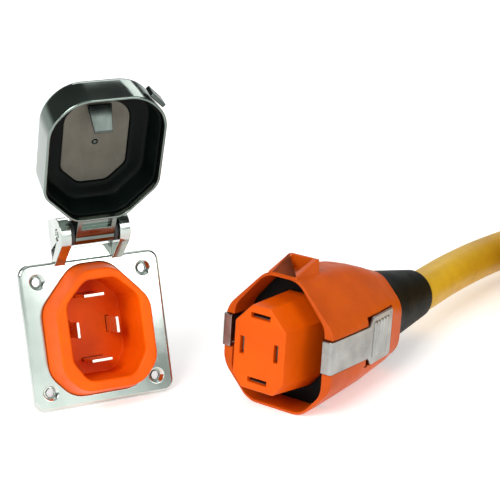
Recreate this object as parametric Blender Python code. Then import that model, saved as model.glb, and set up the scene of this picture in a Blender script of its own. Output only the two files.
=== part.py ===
"""Shore power set: keyed four-blade inlet with hinged cover, and the locking connector of its cord.

Metres, +Z up.  Each assembly is modelled in its own frame, carried by an empty:
X to the right, Y from the mating side towards the back, Z up.
"""
import math

import bmesh
import bpy
from mathutils import Matrix, Vector

for item in list(bpy.data.objects):
    bpy.data.objects.remove(item, do_unlink=True)

MM = 0.001
GAP = 0.3 * MM            # clearance between neighbouring pieces
PAST = 1.0 * MM           # how far a cutter runs past the face it cuts

# ---------------------------------------------------------------- driving sizes
# keyed blade pattern, shared by the inlet and the connector
BLADE_RISE = 39.9 * MM    # between the top and the bottom blade
BLADE_SPAN = 25.0 * MM    # between the left and the right blade
BLADE_T = 2.0 * MM
WIDE_BLADE = 13.0 * MM
NARROW_BLADE = 9.8 * MM

# inlet flange
FLANGE_SIDE = 88.9 * MM
FLANGE_T = 4.0 * MM
FLANGE_CORNER = 7.0 * MM
FLANGE_EDGE = 1.2 * MM
HOLE_SPACING = 67.2 * MM
HOLE_R = 2.6 * MM
SINK_R = 4.65 * MM
GASKET_T = 2.0 * MM
GASKET_INSET = 1.5 * MM

# inlet collar, about the blade centre, which sits a little above the flange centre
KEY_Z = 1.4 * MM
COLLAR_HALF = 33.0 * MM
COLLAR_RISE = 39.6 * MM
COLLAR_OUT = 20.0 * MM    # how far the lip stands out of the flange
COLLAR_ROUND = 16.0 * MM
LIP_W = 6.2 * MM          # width of the flat lip
RECESS_DEEP = 20.0 * MM   # recess floor, behind the flange face
RECESS_ROUND = 9.0 * MM
FLOOR_T = 10.0 * MM
BLADE_TIP = 2.2 * MM      # blade tips, in front of the flange face
BLADE_TAIL = 8.0 * MM     # terminal end, behind the floor

# rear housing, on which the flange leans back
RIM_T = 4.0 * MM
RIM_HALF = 39.5 * MM
RIM_RISE = 41.2 * MM
HOUSING_END = 46.0 * MM
HOUSING_WALL = 2.2 * MM
HOUSING_RISE = 31.95 * MM

# hinge
PIN_Y = -14.0 * MM
PIN_RISE = 15.85 * MM     # above the flange's top edge
PIN_Z = FLANGE_SIDE / 2 + PIN_RISE
PIN_R = 3.4 * MM
LUG_R = 10.0 * MM
LUG_OUT = 21.5 * MM
LUG_T = 6.5 * MM
BAR_RISE = 3.0 * MM
KNUCKLE_HALF = 12.0 * MM
KNUCKLE_R = 7.5 * MM

# cover, in the hinge's frame with the cover shut
OPEN_ANGLE = math.radians(140.5)
COVER_HALF = 35.2 * MM
COVER_RISE = 42.3 * MM
COVER_DEEP = 28.0 * MM
COVER_NEAR_ROUND = 13.0 * MM    # corners next to the hinge
COVER_FAR_ROUND = 22.0 * MM
COVER_WALL = 1.4 * MM
COVER_OFF = 2.3 * MM      # rim, in front of the flange face
PLATE_DEEP = 20.0 * MM    # inner plate's face, below the rim
LINER_FLOOR = 18.0 * MM   # liner's seat for the collar lip, below the rim
PLATE_HALF = 19.8 * MM
PLATE_RISE = 27.5 * MM
PLATE_NEAR_ROUND = 7.0 * MM
PLATE_FAR_ROUND = 12.0 * MM

# connector, measured from its nose face
SHROUD_AT = 18.3 * MM
SHROUD_HALF = 40.0 * MM
SHROUD_TOP = 42.4 * MM
SHROUD_BOTTOM = 41.6 * MM
SHROUD_SIDE_WALL = 6.6 * MM
SHROUD_EDGE_WALL = 2.0 * MM
SHELL_ROUND = 16.0 * MM
SHROUD_ROUND = 14.0 * MM
SHELL_END = 110.0 * MM
NOSE_SIDE_WALL = 6.1 * MM   # beyond the outer blades' centres
NOSE_END_WALL = 6.25 * MM
NOSE_HALF = BLADE_SPAN / 2 + NOSE_SIDE_WALL
NOSE_RISE = BLADE_RISE / 2 + NOSE_END_WALL
NOSE_LONG = 40.1 * MM
PIVOT_Y = 48.0 * MM
PIVOT_IN = 5.4 * MM       # latch pivot, inside the shroud's side
PIVOT_X = SHROUD_HALF - PIVOT_IN
LATCH_HALF = 10.1 * MM
GRIP_HALF = 15.2 * MM
LATCH_T = 1.6 * MM
CABLE_R = 14.0 * MM
CABLE_RISE = 1.5 * MM     # cable's axis above the nose's
BOOT_FROM = 100.0 * MM
BOOT_END = 172.0 * MM
BOOT_R = 26.5 * MM
BOOT_TIP_R = 17.3 * MM

# where the two assemblies stand
INLET_X, INLET_Y = -84.48 * MM, -33.41 * MM
INLET_TURN = math.radians(23.8)
CONNECTOR_X, CONNECTOR_Y = 13.32 * MM, -64.71 * MM
CONNECTOR_TURN = math.radians(-37.9)
NOSE_UP = math.radians(5.6)

# cord: free stretch, coil and tail, chosen by hand
CABLE_ROUTE = [
    (0.1187, 0.0707, 0.0280), (0.1260, 0.0801, 0.0268), (0.1440, 0.1080, 0.0262),
    (0.1645, 0.1385, 0.0247), (0.1915, 0.1735, 0.0227),
]
COIL_CENTRE = (0.4031, 0.1375)
TURN_RADII = (0.1300, 0.1583, 0.1866)
COIL_LAYERS = 3
COIL_FLOOR = 0.0020
TAIL_ROUTE = [
    (0.3840, 0.2737, 0.1014), (0.4170, 0.2693, 0.1045), (0.4477, 0.2601, 0.1098),
    (0.4758, 0.2453, 0.1145), (0.4907, 0.2353, 0.1158), (0.5056, 0.2253, 0.1159),
]
PLUG_TURN = math.radians(-124.0)
PLUG_R = 29.0 * MM
PLUG_LONG = 58.0 * MM
TIE_ANGLES = (228.0, 285.0, 342.0)


# ---------------------------------------------------------------- materials
def material(name, colour, roughness, metallic=0.0):
    made = bpy.data.materials.new(name)
    made.use_nodes = True
    shader = made.node_tree.nodes["Principled BSDF"]
    shader.inputs["Base Color"].default_value = (*colour, 1.0)
    shader.inputs["Roughness"].default_value = roughness
    shader.inputs["Metallic"].default_value = metallic
    return made


STEEL = ("stainless steel", (0.62, 0.62, 0.60), 0.22, 1.0)
ORANGE = ("orange nylon", (0.90, 0.20, 0.015), 0.42)
RUBBER = ("black rubber", (0.012, 0.013, 0.012), 0.55)
PLATE = ("grey plate", (0.20, 0.185, 0.17), 0.5, 0.3)
BRASS = ("plated contact metal", (0.78, 0.76, 0.70), 0.3, 1.0)
BLACK = ("black nylon", (0.02, 0.02, 0.02), 0.5)
YELLOW = ("yellow jacket", (0.72, 0.42, 0.02), 0.5)
SPRING = ("spring steel", (0.5, 0.5, 0.5), 0.35, 1.0)


# ---------------------------------------------------------------- outlines
def rounded(corners, radii, steps=3):
    """A closed outline with each corner turned into an arc that fits its shorter side."""
    outline = []
    count = len(corners)
    for i, (corner, radius) in enumerate(zip(corners, radii)):
        here = Vector(corner)
        back = Vector(corners[i - 1]) - here
        ahead = Vector(corners[(i + 1) % count]) - here
        turn = math.pi - back.angle(ahead)
        reach = min(radius * math.tan(turn / 2), 0.48 * back.length, 0.48 * ahead.length)
        arc = reach / math.tan(turn / 2)
        inward = (back.normalized() + ahead.normalized()).normalized()
        centre = here + inward * (arc / math.cos(turn / 2))
        start = here + back.normalized() * reach - centre
        spin = 1 if back.cross(ahead) < 0 else -1
        for k in range(steps + 1):
            angle = spin * turn * k / steps
            cos, sin = math.cos(angle), math.sin(angle)
            outline.append((centre.x + start.x * cos - start.y * sin,
                            centre.y + start.x * sin + start.y * cos))
    return outline


def keyed(half, top, bottom, top_cut, bottom_cut, grow=0.0, centre=0.0, radii=(5 * MM, 5 * MM), steps=3):
    """The keyed eight-sided outline: big corner cuts at the top, small ones at the bottom.

    The radii are the top corners' and the bottom corners'.
    """
    half, top, bottom = half + grow, top + grow, bottom + grow
    tx, tz = (c + 0.586 * grow for c in top_cut)
    bx, bz = (c + 0.586 * grow for c in bottom_cut)
    corners = [
        (half - bx, -bottom), (half, bz - bottom), (half, top - tz), (half - tx, top),
        (tx - half, top), (-half, top - tz), (-half, bz - bottom), (bx - half, -bottom),
    ]
    upper, lower = radii
    each = [lower] * 2 + [upper] * 4 + [lower] * 2
    return [(x, z + centre) for x, z in rounded(corners, each, steps)]


# ---------------------------------------------------------------- solids
def place(name, mesh_maker, look, parent, guide=False):
    """An object made from a bmesh, with its normals out, under its assembly's empty."""
    made = bmesh.new()
    mesh_maker(made)
    bmesh.ops.remove_doubles(made, verts=made.verts, dist=0.00001)
    bmesh.ops.recalc_face_normals(made, faces=made.faces)
    mesh = bpy.data.meshes.new(name)
    made.to_mesh(mesh)
    made.free()
    mesh.shade_smooth()
    mesh.set_sharp_from_angle(angle=math.radians(35))
    item = bpy.data.objects.new(name, mesh)
    bpy.context.scene.collection.objects.link(item)
    item.parent = parent
    if guide:
        item.hide_render = True
        item.display_type = "WIRE"
    else:
        mesh.materials.append(looks[look[0]])
    return item


def loft(sections):
    """Sections are (y, outline of (x, z)) pairs with equal counts, joined in order."""
    def build(made):
        rings = [[made.verts.new((x, y, z)) for x, z in outline] for y, outline in sections]
        for low, high in zip(rings, rings[1:]):
            for i, corner in enumerate(low):
                j = (i + 1) % len(low)
                made.faces.new((corner, low[j], high[j], high[i]))
        made.faces.new(rings[0])
        made.faces.new(list(reversed(rings[-1])))
    return build


def box(low, high):
    def build(made):
        bmesh.ops.create_cube(made, size=1.0)
        size = [h - l for l, h in zip(low, high)]
        middle = [(h + l) / 2 for l, h in zip(low, high)]
        bmesh.ops.scale(made, vec=size, verts=made.verts)
        bmesh.ops.translate(made, vec=middle, verts=made.verts)
    return build


def prism_x(profile, low, high):
    """A profile of (y, z) points, extruded from x = low to x = high."""
    def build(made):
        near = [made.verts.new((low, y, z)) for y, z in profile]
        far = [made.verts.new((high, y, z)) for y, z in profile]
        made.faces.new(near)
        made.faces.new(list(reversed(far)))
        for i, corner in enumerate(near):
            j = (i + 1) % len(near)
            made.faces.new((corner, far[i], far[j], near[j]))
    return build


def turned(profile, at, axis, sides=16, closed=False):
    """A profile of (radius, distance) points, turned about an axis through a point.

    An open profile starts and ends on the axis.  A closed one is a ring.
    """
    turn = Vector((0, 0, 1)).rotation_difference(Vector(axis)).to_matrix().to_4x4()
    matrix = Matrix.Translation(at) @ turn

    def build(made):
        rings = []
        for radius, along in profile:
            if radius == 0:
                rings.append([made.verts.new(matrix @ Vector((0, 0, along)))])
                continue
            angles = [2 * math.pi * i / sides for i in range(sides)]
            rings.append([
                made.verts.new(matrix @ Vector((radius * math.cos(a), radius * math.sin(a), along)))
                for a in angles
            ])
        pairs = list(zip(rings, rings[1:])) + ([(rings[-1], rings[0])] if closed else [])
        for low, high in pairs:
            for i in range(sides):
                j = (i + 1) % sides
                ring = [low[i % len(low)], low[j % len(low)], high[j % len(high)], high[i % len(high)]]
                made.faces.new(list(dict.fromkeys(ring)))
    return build


def cylinder(radius, at, axis, low, high, sides=16):
    return turned([(0, low), (radius, low), (radius, high), (0, high)], at, axis, sides)


def combine(target, operation, *shapes):
    """Cuts each shape from the target, or adds it, with a hidden guide."""
    for i, shape in enumerate(shapes):
        guide = place(f"guide_{operation.lower()}_{target.name}_{i}", shape, None, target.parent, True)
        step = target.modifiers.new(f"{operation} {i}", "BOOLEAN")
        step.operation = operation
        step.solver = "EXACT"
        step.object = guide


def cut(target, *shapes):
    combine(target, "DIFFERENCE", *shapes)


def add(target, *shapes):
    combine(target, "UNION", *shapes)


def screw(name, at, axis, head_r, head_h, shank_r, shank_long, parent, look=STEEL):
    """A pan head at the point, standing out along the axis, with its shank behind."""
    profile = [
        (0, -shank_long), (shank_r, -shank_long), (shank_r, 0), (head_r, 0),
        (head_r, 0.6 * head_h), (0.6 * head_r, head_h), (0, head_h),
    ]
    return place(name, turned(profile, at, axis, 12), look, parent)


def empty(name, location, rotation=(0, 0, 0), parent=None):
    made = bpy.data.objects.new(name, None)
    bpy.context.scene.collection.objects.link(made)
    made.location = location
    made.rotation_euler = rotation
    made.parent = parent
    return made


looks = {
    look[0]: material(*look)
    for look in (STEEL, ORANGE, RUBBER, PLATE, BRASS, BLACK, YELLOW, SPRING)
}

# the four blade places: name, centre (x, z) about the key centre, half sizes (x, z), outward axis
BLADES = [
    ("top", (0, BLADE_RISE / 2), (WIDE_BLADE / 2, BLADE_T / 2), (0, 0, 1)),
    ("bottom", (0, -BLADE_RISE / 2), (WIDE_BLADE / 2, BLADE_T / 2), (0, 0, -1)),
    ("left", (-BLADE_SPAN / 2, 0), (BLADE_T / 2, NARROW_BLADE / 2), (-1, 0, 0)),
    ("right", (BLADE_SPAN / 2, 0), (BLADE_T / 2, NARROW_BLADE / 2), (1, 0, 0)),
]


def blade_box(centre, half, low, high, grow=0.0, rise=0.0):
    return box(
        (centre[0] - half[0] - grow, low, centre[1] + rise - half[1] - grow),
        (centre[0] + half[0] + grow, high, centre[1] + rise + half[1] + grow),
    )


# ---------------------------------------------------------------- inlet
housing_low = KEY_Z - HOUSING_RISE
lean = math.atan2(FLANGE_SIDE / 2 + housing_low, HOUSING_END - FLANGE_T)
inlet_z = FLANGE_SIDE / 2 * math.cos(lean) + FLANGE_T * math.sin(lean)
inlet = empty("inlet_frame", (INLET_X, INLET_Y, inlet_z), (-lean, 0, INLET_TURN))


def collar(grow=0.0):
    return keyed(COLLAR_HALF, COLLAR_RISE, COLLAR_RISE, (21.5 * MM, 24 * MM), (13 * MM, 15 * MM),
                 grow, KEY_Z, (COLLAR_ROUND, COLLAR_ROUND))


def recess(grow=0.0):
    lip_half = COLLAR_HALF - 4.5 * MM - LIP_W
    lip_rise = COLLAR_RISE - 3.4 * MM - LIP_W
    return keyed(lip_half, lip_rise, lip_rise, (13 * MM, 13 * MM), (8 * MM, 13 * MM),
                 grow, KEY_Z, (RECESS_ROUND, RECESS_ROUND))


def square(grow=0.0):
    half = FLANGE_SIDE / 2 + grow
    corners = [(half, -half), (half, half), (-half, half), (-half, -half)]
    return rounded(corners, [FLANGE_CORNER + grow] * 4, 4)


body_rear = FLANGE_T + GAP + GASKET_T + GAP
rim_rear = body_rear + RIM_T
floor_rear = RECESS_DEEP + FLOOR_T
body_screws = [(x, KEY_Z + z) for x in (-36.4 * MM, 36.4 * MM) for z in (-14 * MM, 14 * MM)]
mount_holes = [(x, z) for x in (-HOLE_SPACING / 2, HOLE_SPACING / 2)
               for z in (-HOLE_SPACING / 2, HOLE_SPACING / 2)]
SCREW_R = 1.3 * MM
opening = [(-PAST, collar(GAP)), (rim_rear, collar(GAP))]

flange = place("inlet_flange", loft([
    (0, square(-FLANGE_EDGE)), (0.35 * FLANGE_EDGE, square(-0.3 * FLANGE_EDGE)),
    (FLANGE_EDGE, square()), (FLANGE_T, square()),
]), STEEL, inlet)
bar_top = FLANGE_SIDE / 2 + BAR_RISE


def lug_profile():
    """Straight back edge, a round front about the pin, and a foot on the flange."""
    points = [(FLANGE_T, bar_top - 6 * MM), (FLANGE_T, PIN_Z + LUG_R - 1.5 * MM),
              (FLANGE_T - 1.5 * MM, PIN_Z + LUG_R)]
    for degrees in range(90, 241, 15):
        angle = math.radians(degrees)
        points.append((PIN_Y + LUG_R * math.cos(angle), PIN_Z + LUG_R * math.sin(angle)))
    return points + [(FLANGE_EDGE, bar_top - 6 * MM)]


add(
    flange,
    box((-LUG_OUT, FLANGE_EDGE / 2, FLANGE_SIDE / 2 - 5 * MM), (LUG_OUT, FLANGE_T, bar_top)),
    prism_x(lug_profile(), -LUG_OUT, LUG_T - LUG_OUT),
    prism_x(lug_profile(), LUG_OUT - LUG_T, LUG_OUT),
)
pin_at = (0, PIN_Y, PIN_Z)
sink_deep = SINK_R - HOLE_R
cut(
    flange,
    loft(opening),
    cylinder(PIN_R + GAP, pin_at, (1, 0, 0), -LUG_OUT - PAST, LUG_OUT + PAST, 20),
    *[
        turned([(0, -PAST), (SINK_R + PAST, -PAST), (HOLE_R, sink_deep),
                (HOLE_R, FLANGE_T + PAST), (0, FLANGE_T + PAST)], (x, 0, z), (0, 1, 0), 20)
        for x, z in mount_holes
    ],
    *[
        cylinder(SCREW_R + GAP, (x, 0, z), (0, 1, 0), FLANGE_T / 2, FLANGE_T + PAST, 12)
        for x, z in body_screws
    ],
)

gasket = place("flange_gasket", loft([
    (FLANGE_T + GAP, square(-GASKET_INSET)), (FLANGE_T + GAP + GASKET_T, square(-GASKET_INSET)),
]), RUBBER, inlet)
cut(
    gasket,
    loft(opening),
    *[cylinder(HOLE_R + GAP, (x, 0, z), (0, 1, 0), 0, rim_rear, 12) for x, z in mount_holes],
    *[cylinder(SCREW_R + GAP, (x, 0, z), (0, 1, 0), 0, rim_rear, 12) for x, z in body_screws],
)

rim = keyed(RIM_HALF, RIM_RISE, RIM_RISE, (24 * MM, 26 * MM), (16 * MM, 18 * MM), 0, KEY_Z,
            (9 * MM, 9 * MM))
core = keyed(28 * MM, 31.5 * MM, 31.5 * MM, (17 * MM, 17 * MM), (10 * MM, 12 * MM), 0, KEY_Z,
             (6 * MM, 6 * MM))
inlet_body = place("inlet_body", loft([
    (-COLLAR_OUT, collar(-4.5 * MM)), (1.2 * MM - COLLAR_OUT, collar(-3.6 * MM)),
    (4 * MM - COLLAR_OUT, collar(-3.0 * MM)), (-4 * MM, collar(-0.8 * MM)), (-1 * MM, collar(-0.2 * MM)),
    (0, collar()), (body_rear, collar()), (body_rear, rim), (rim_rear, rim), (rim_rear, core),
    (floor_rear, core),
]), ORANGE, inlet)
cut(
    inlet_body,
    loft([(-COLLAR_OUT - PAST, recess(0.6 * MM)), (0.8 * MM - COLLAR_OUT, recess()),
          (RECESS_DEEP, recess(-1.0 * MM))]),
    *[blade_box(c, h, 0, floor_rear + PAST, GAP, KEY_Z) for _, c, h, _ in BLADES],
    *[cylinder(SCREW_R + GAP, (x, 0, z), (0, 1, 0), 0, rim_rear + PAST, 12) for x, z in body_screws],
)
for i, (x, z) in enumerate(body_screws):
    screw(f"body_screw_{i + 1}", (x, rim_rear + GAP, z), (0, 1, 0), 2.4 * MM, 1.8 * MM,
          SCREW_R, rim_rear - FLANGE_T, inlet)

tail_end = floor_rear + BLADE_TAIL
terminal_y = floor_rear + 0.55 * BLADE_TAIL
TERMINAL_R = 1.7 * MM
for name, centre, half, out in BLADES:
    blade = place(f"inlet_blade_{name}", blade_box(centre, half, -BLADE_TIP, tail_end, 0, KEY_Z),
                  BRASS, inlet)
    middle = Vector((centre[0], terminal_y, centre[1] + KEY_Z))
    cut(blade, cylinder(TERMINAL_R + GAP, middle, out, -3 * MM, 3 * MM, 12))
    screw(f"terminal_screw_{name}", middle + Vector(out) * (BLADE_T / 2 + GAP), out, 3.0 * MM, 2.4 * MM,
          TERMINAL_R, BLADE_T + 2.5 * MM, inlet, BRASS)


def housing(half, rise, grow=0.0):
    return keyed(half, rise, rise, (17 * MM, 17 * MM), (11 * MM, 12 * MM), grow, KEY_Z, (7 * MM, 7 * MM))


housing_from = rim_rear + GAP
GLAND_NECK_R = 9.6 * MM
rear_housing = place("rear_housing", loft([
    (housing_from, housing(33.6 * MM, 37 * MM)), (HOUSING_END, housing(30 * MM, HOUSING_RISE)),
]), BLACK, inlet)
inner_end = HOUSING_END - HOUSING_WALL
cut(
    rear_housing,
    loft([(housing_from - PAST, housing(33.6 * MM, 37 * MM, -HOUSING_WALL)),
          (inner_end, housing(30 * MM, HOUSING_RISE, -HOUSING_WALL))]),
    cylinder(GLAND_NECK_R + GAP, (0, 0, KEY_Z), (0, 1, 0), inner_end - PAST, HOUSING_END + PAST, 20),
)
place("rear_gland", turned([
    (7 * MM, inner_end - 3 * MM), (GLAND_NECK_R, inner_end - 3 * MM), (GLAND_NECK_R, HOUSING_END + GAP),
    (13 * MM, HOUSING_END + GAP), (13 * MM, HOUSING_END + 9 * MM), (10 * MM, HOUSING_END + 14 * MM),
    (7 * MM, HOUSING_END + 14 * MM),
], (0, 0, KEY_Z), (0, 1, 0), 20, True), BLACK, inlet)

pin_half = LUG_OUT - 0.6 * MM
pin = place("hinge_pin", cylinder(PIN_R, pin_at, (1, 0, 0), -pin_half, pin_half, 20), STEEL, inlet)
cut(pin, cylinder(2.0 * MM, pin_at, (1, 0, 0), -pin_half - PAST, 3 * MM - pin_half, 6))
for side, sign in (("left", -1), ("right", 1)):
    washer_from, washer_to = KNUCKLE_HALF + GAP, LUG_OUT - LUG_T - GAP
    place(f"hinge_washer_{side}", turned([
        (PIN_R + GAP, washer_from), (KNUCKLE_R, washer_from), (KNUCKLE_R, washer_to),
        (PIN_R + GAP, washer_to),
    ], pin_at, (sign, 0, 0), 20, True), BLACK, inlet)

# ---------------------------------------------------------------- cover
hinge = empty("cover_hinge", pin_at, (-OPEN_ANGLE, 0, 0), inlet)
cap_z = KEY_Z - PIN_Z
rim_y = -PIN_Y - COVER_OFF
dome_y = rim_y - COVER_DEEP


def cap(grow=0.0):
    return keyed(COVER_HALF, COVER_RISE, COVER_RISE, (20 * MM, 21 * MM), (15 * MM, 15 * MM),
                 grow, cap_z, (COVER_NEAR_ROUND, COVER_FAR_ROUND), 4)


def plate_outline(grow=0.0):
    return keyed(PLATE_HALF, PLATE_RISE, PLATE_RISE, (11 * MM, 11 * MM), (8 * MM, 8 * MM),
                 grow, cap_z, (PLATE_NEAR_ROUND, PLATE_FAR_ROUND))


cover = place("cover_shell", loft([
    (rim_y, cap(-0.4 * MM)), (rim_y - 0.6 * MM, cap()), (rim_y - 0.74 * COVER_DEEP, cap(-1.0 * MM)),
    (rim_y - 0.86 * COVER_DEEP, cap(-2.8 * MM)), (rim_y - 0.97 * COVER_DEEP, cap(-8 * MM)),
    (dome_y, cap(-12 * MM)),
]), STEEL, hinge)
near_wall = cap_z + COVER_RISE
arm = [(-6.5 * MM, -2 * MM), (-9 * MM, near_wall - 1.3 * MM), (6 * MM, near_wall - 1.1 * MM),
       (rim_y - 2.2 * MM, near_wall - 0.6 * MM), (KNUCKLE_R - 0.1 * MM, -2 * MM)]
add(
    cover,
    cylinder(KNUCKLE_R, (0, 0, 0), (1, 0, 0), -KNUCKLE_HALF, KNUCKLE_HALF, 24),
    prism_x(arm, -KNUCKLE_HALF, KNUCKLE_HALF),
)
inner_deep = rim_y - 0.74 * COVER_DEEP
inner_back = dome_y + 2 * COVER_WALL
DEEP_TAPER, BACK_TAPER = 1.2 * MM, 5.6 * MM
cut(
    cover,
    loft([(rim_y + PAST, cap(-COVER_WALL)), (inner_deep, cap(-COVER_WALL - DEEP_TAPER)),
          (inner_back, cap(-COVER_WALL - BACK_TAPER))]),
    cylinder(PIN_R + GAP, (0, 0, 0), (1, 0, 0), -KNUCKLE_HALF - PAST, KNUCKLE_HALF + PAST, 20),
    box((-9 * MM, KNUCKLE_R - 2 * MM, near_wall + 1.4 * MM), (9 * MM, rim_y + PAST, -KNUCKLE_R - 0.6 * MM)),
)
LINER_WALL = 1.3 * MM
LINER_BACK_WALL = 2.9 * MM
liner_from, liner_floor, liner_to = rim_y - 4 * MM, rim_y - LINER_FLOOR, (inner_deep + inner_back) / 2
liner_grow = -COVER_WALL - GAP
liner = place("cover_liner", loft([
    (liner_from, cap(liner_grow - GAP)), (inner_deep, cap(liner_grow - DEEP_TAPER)),
    (liner_to, cap(liner_grow - GAP - (DEEP_TAPER + BACK_TAPER) / 2)),
]), RUBBER, hinge)
cut(
    liner,
    loft([(liner_from + PAST, cap(liner_grow - LINER_WALL)),
          (liner_floor, cap(liner_grow - LINER_BACK_WALL))]),
    loft([(liner_from, plate_outline(GAP)), (liner_to - PAST, plate_outline(GAP))]),
)
plate_y = rim_y - PLATE_DEEP
RIVET_R = 1.6 * MM
plate = place("cover_inner_plate", loft([
    (plate_y, plate_outline()), (liner_to, plate_outline()),
]), PLATE, hinge)
cut(plate, cylinder(RIVET_R + GAP, (0, 0, cap_z), (0, 1, 0), liner_to - PAST, plate_y + PAST, 12))
place("cover_plate_rivet", turned([
    (0, inner_back + GAP), (RIVET_R, inner_back + GAP), (RIVET_R, plate_y),
    (0.6 * RIVET_R, plate_y + 0.4 * MM), (0, plate_y + 0.4 * MM),
], (0, 0, cap_z), (0, 1, 0), 12), STEEL, hinge)

CATCH_T = 1.5 * MM
CATCH_OUT = 11.0 * MM
CATCH_RUN = 11.0 * MM
foot_z = cap_z - PLATE_RISE + 1.0 * MM


def catch(made):
    """A strip that narrows as it leans from the plate's far edge towards the hinge, with a lip."""
    low, high = plate_y + GAP, plate_y + CATCH_OUT
    stations = [
        (7.3 * MM, low, foot_z), (5.5 * MM, high, foot_z + CATCH_RUN),
        (5.3 * MM, high, foot_z + CATCH_RUN + 1.6 * MM),
    ]
    rings = []
    for half, y, z in stations:
        top_y, top_z = y + CATCH_T, z - 0.4 * MM
        corners = [(-half, y, z), (half, y, z), (half, top_y, top_z), (-half, top_y, top_z)]
        rings.append([made.verts.new(corner) for corner in corners])
    for near, far in zip(rings, rings[1:]):
        for i in range(4):
            j = (i + 1) % 4
            made.faces.new((near[i], near[j], far[j], far[i]))
    made.faces.new(rings[0])
    made.faces.new(list(reversed(rings[-1])))


place("cover_catch", catch, STEEL, hinge)

# thumb tab on the far right corner cut, square to that cut
tab_frame = Matrix.Translation((COVER_HALF - 7.5 * MM, 0, cap_z - COVER_RISE + 7.5 * MM)) \
    @ Matrix.Rotation(math.radians(45), 4, "Y")


def thumb_tab(made):
    box((GAP + 0.1 * MM, rim_y - 12 * MM, -6 * MM), (3 * MM, rim_y - 3 * MM, 6 * MM))(made)
    bmesh.ops.transform(made, matrix=tab_frame, verts=made.verts)


place("cover_thumb_tab", thumb_tab, STEEL, hinge)

# ---------------------------------------------------------------- connector
connector_z = SHROUD_AT * math.sin(NOSE_UP) + SHROUD_BOTTOM * math.cos(NOSE_UP) + 0.1 * MM
connector = empty("connector_frame", (CONNECTOR_X, CONNECTOR_Y, connector_z), (-NOSE_UP, 0, CONNECTOR_TURN))

# shell stations: distance, side, top, bottom, top cut, bottom cut, each less than at the shroud edge
STATIONS = [
    (SHROUD_AT, 0.5, 0.5, 0.5, 28, 20), (SHROUD_AT + 1 * MM, 0, 0, 0, 28, 20),
    (45 * MM, 1.4, 0.2, 2.7, 27, 19), (75 * MM, 4.4, 2.6, 5.9, 24, 17),
    (96 * MM, 7.4, 7.6, 9.5, 20, 15), (SHELL_END, 9.8, 12.1, 13.5, 17, 13),
]


def station_outline(side, top, bottom, top_cut, bottom_cut):
    return keyed(SHROUD_HALF - side * MM, SHROUD_TOP - top * MM, SHROUD_BOTTOM - bottom * MM,
                 (top_cut * MM, top_cut * MM), (bottom_cut * MM, bottom_cut * MM), 0, 0,
                 (SHELL_ROUND, SHELL_ROUND))


shell = place("connector_shell", loft([(y, station_outline(*rest)) for y, *rest in STATIONS]),
              ORANGE, connector)
HUMP_HALF = 10.5 * MM
HUMP_TOP = 50.3 * MM
HUMP_BACK = 41.5 * MM
hump_floor = SHROUD_TOP + 0.2 * MM
add(shell, prism_x([
    (SHROUD_AT + 0.6 * MM, SHROUD_TOP - 2.5 * MM), (SHROUD_AT + 0.6 * MM, hump_floor),
    (HUMP_BACK - 3 * MM, HUMP_TOP), (HUMP_BACK, HUMP_TOP), (HUMP_BACK + 1 * MM, SHROUD_TOP - 2.5 * MM),
], -HUMP_HALF, HUMP_HALF))


def round_shape(half_x, top, bottom, cut_size, radius=5 * MM):
    return keyed(half_x, top, bottom, (cut_size, cut_size), (cut_size, cut_size), 0, 0, (radius, radius))


def shroud_inside(grow=0.0):
    return keyed(SHROUD_HALF - SHROUD_SIDE_WALL, SHROUD_TOP - SHROUD_EDGE_WALL,
                 SHROUD_BOTTOM - SHROUD_EDGE_WALL, (21.5 * MM, 24 * MM), (13 * MM, 15 * MM), grow, 0,
                 (SHROUD_ROUND, SHROUD_ROUND))


step_y = NOSE_LONG + GAP
MID_HALF, MID_RISE, MID_CUT = 27.8 * MM, 32.5 * MM, 15 * MM
mid_cavity = round_shape(MID_HALF, MID_RISE, MID_RISE, MID_CUT)
REAR_HALF, REAR_CUT = 21.5 * MM, 3 * MM
rear_cavity = [(x, z + CABLE_RISE) for x, z in round_shape(REAR_HALF, REAR_HALF, REAR_HALF, REAR_CUT, 2 * MM)]
mid_end = 58 * MM
slot_floor, grip_floor = MID_HALF + 2.2 * MM, REAR_HALF + 2.5 * MM
slot_end, grip_from, grip_end = 62.5 * MM, 60.5 * MM, 94.5 * MM
far_x = SHROUD_HALF + 5 * MM
PIVOT_R = 1.5 * MM
pivot_half = LATCH_HALF + 3.3 * MM
rear_axis = (0, 0, CABLE_RISE)
side_cuts = []
for sign in (-1, 1):
    slot_x = sorted((sign * slot_floor, sign * far_x))
    grip_x = sorted((sign * grip_floor, sign * far_x))
    side_cuts += [
        box((slot_x[0], SHROUD_AT - PAST, -LATCH_HALF - GAP), (slot_x[1], slot_end, LATCH_HALF + GAP)),
        box((grip_x[0], grip_from, -GRIP_HALF - GAP), (grip_x[1], grip_end, GRIP_HALF + GAP)),
        cylinder(PIVOT_R + GAP, (sign * PIVOT_X, PIVOT_Y, 0), (0, 0, 1),
                 -pivot_half - GAP, pivot_half + GAP, 12),
    ]
cut(
    shell,
    box((-HUMP_HALF + 3.4 * MM, SHROUD_AT - PAST, hump_floor),
        (HUMP_HALF - 3.4 * MM, HUMP_BACK - 3.4 * MM, HUMP_TOP + PAST)),
    loft([(SHROUD_AT - PAST, shroud_inside()), (step_y, shroud_inside())]),
    loft([(step_y - PAST, mid_cavity), (mid_end, mid_cavity)]),
    loft([(mid_end - PAST, rear_cavity), (BOOT_FROM, rear_cavity)]),
    cylinder(BOOT_R + GAP, rear_axis, (0, 1, 0), BOOT_FROM - GAP, SHELL_END + PAST, 28),
    *side_cuts,
)


def nose(grow=0.0):
    return keyed(NOSE_HALF, NOSE_RISE, NOSE_RISE, (12 * MM, 12 * MM), (7 * MM, 8 * MM), grow, 0,
                 (1.5 * MM, 1.5 * MM))


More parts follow.
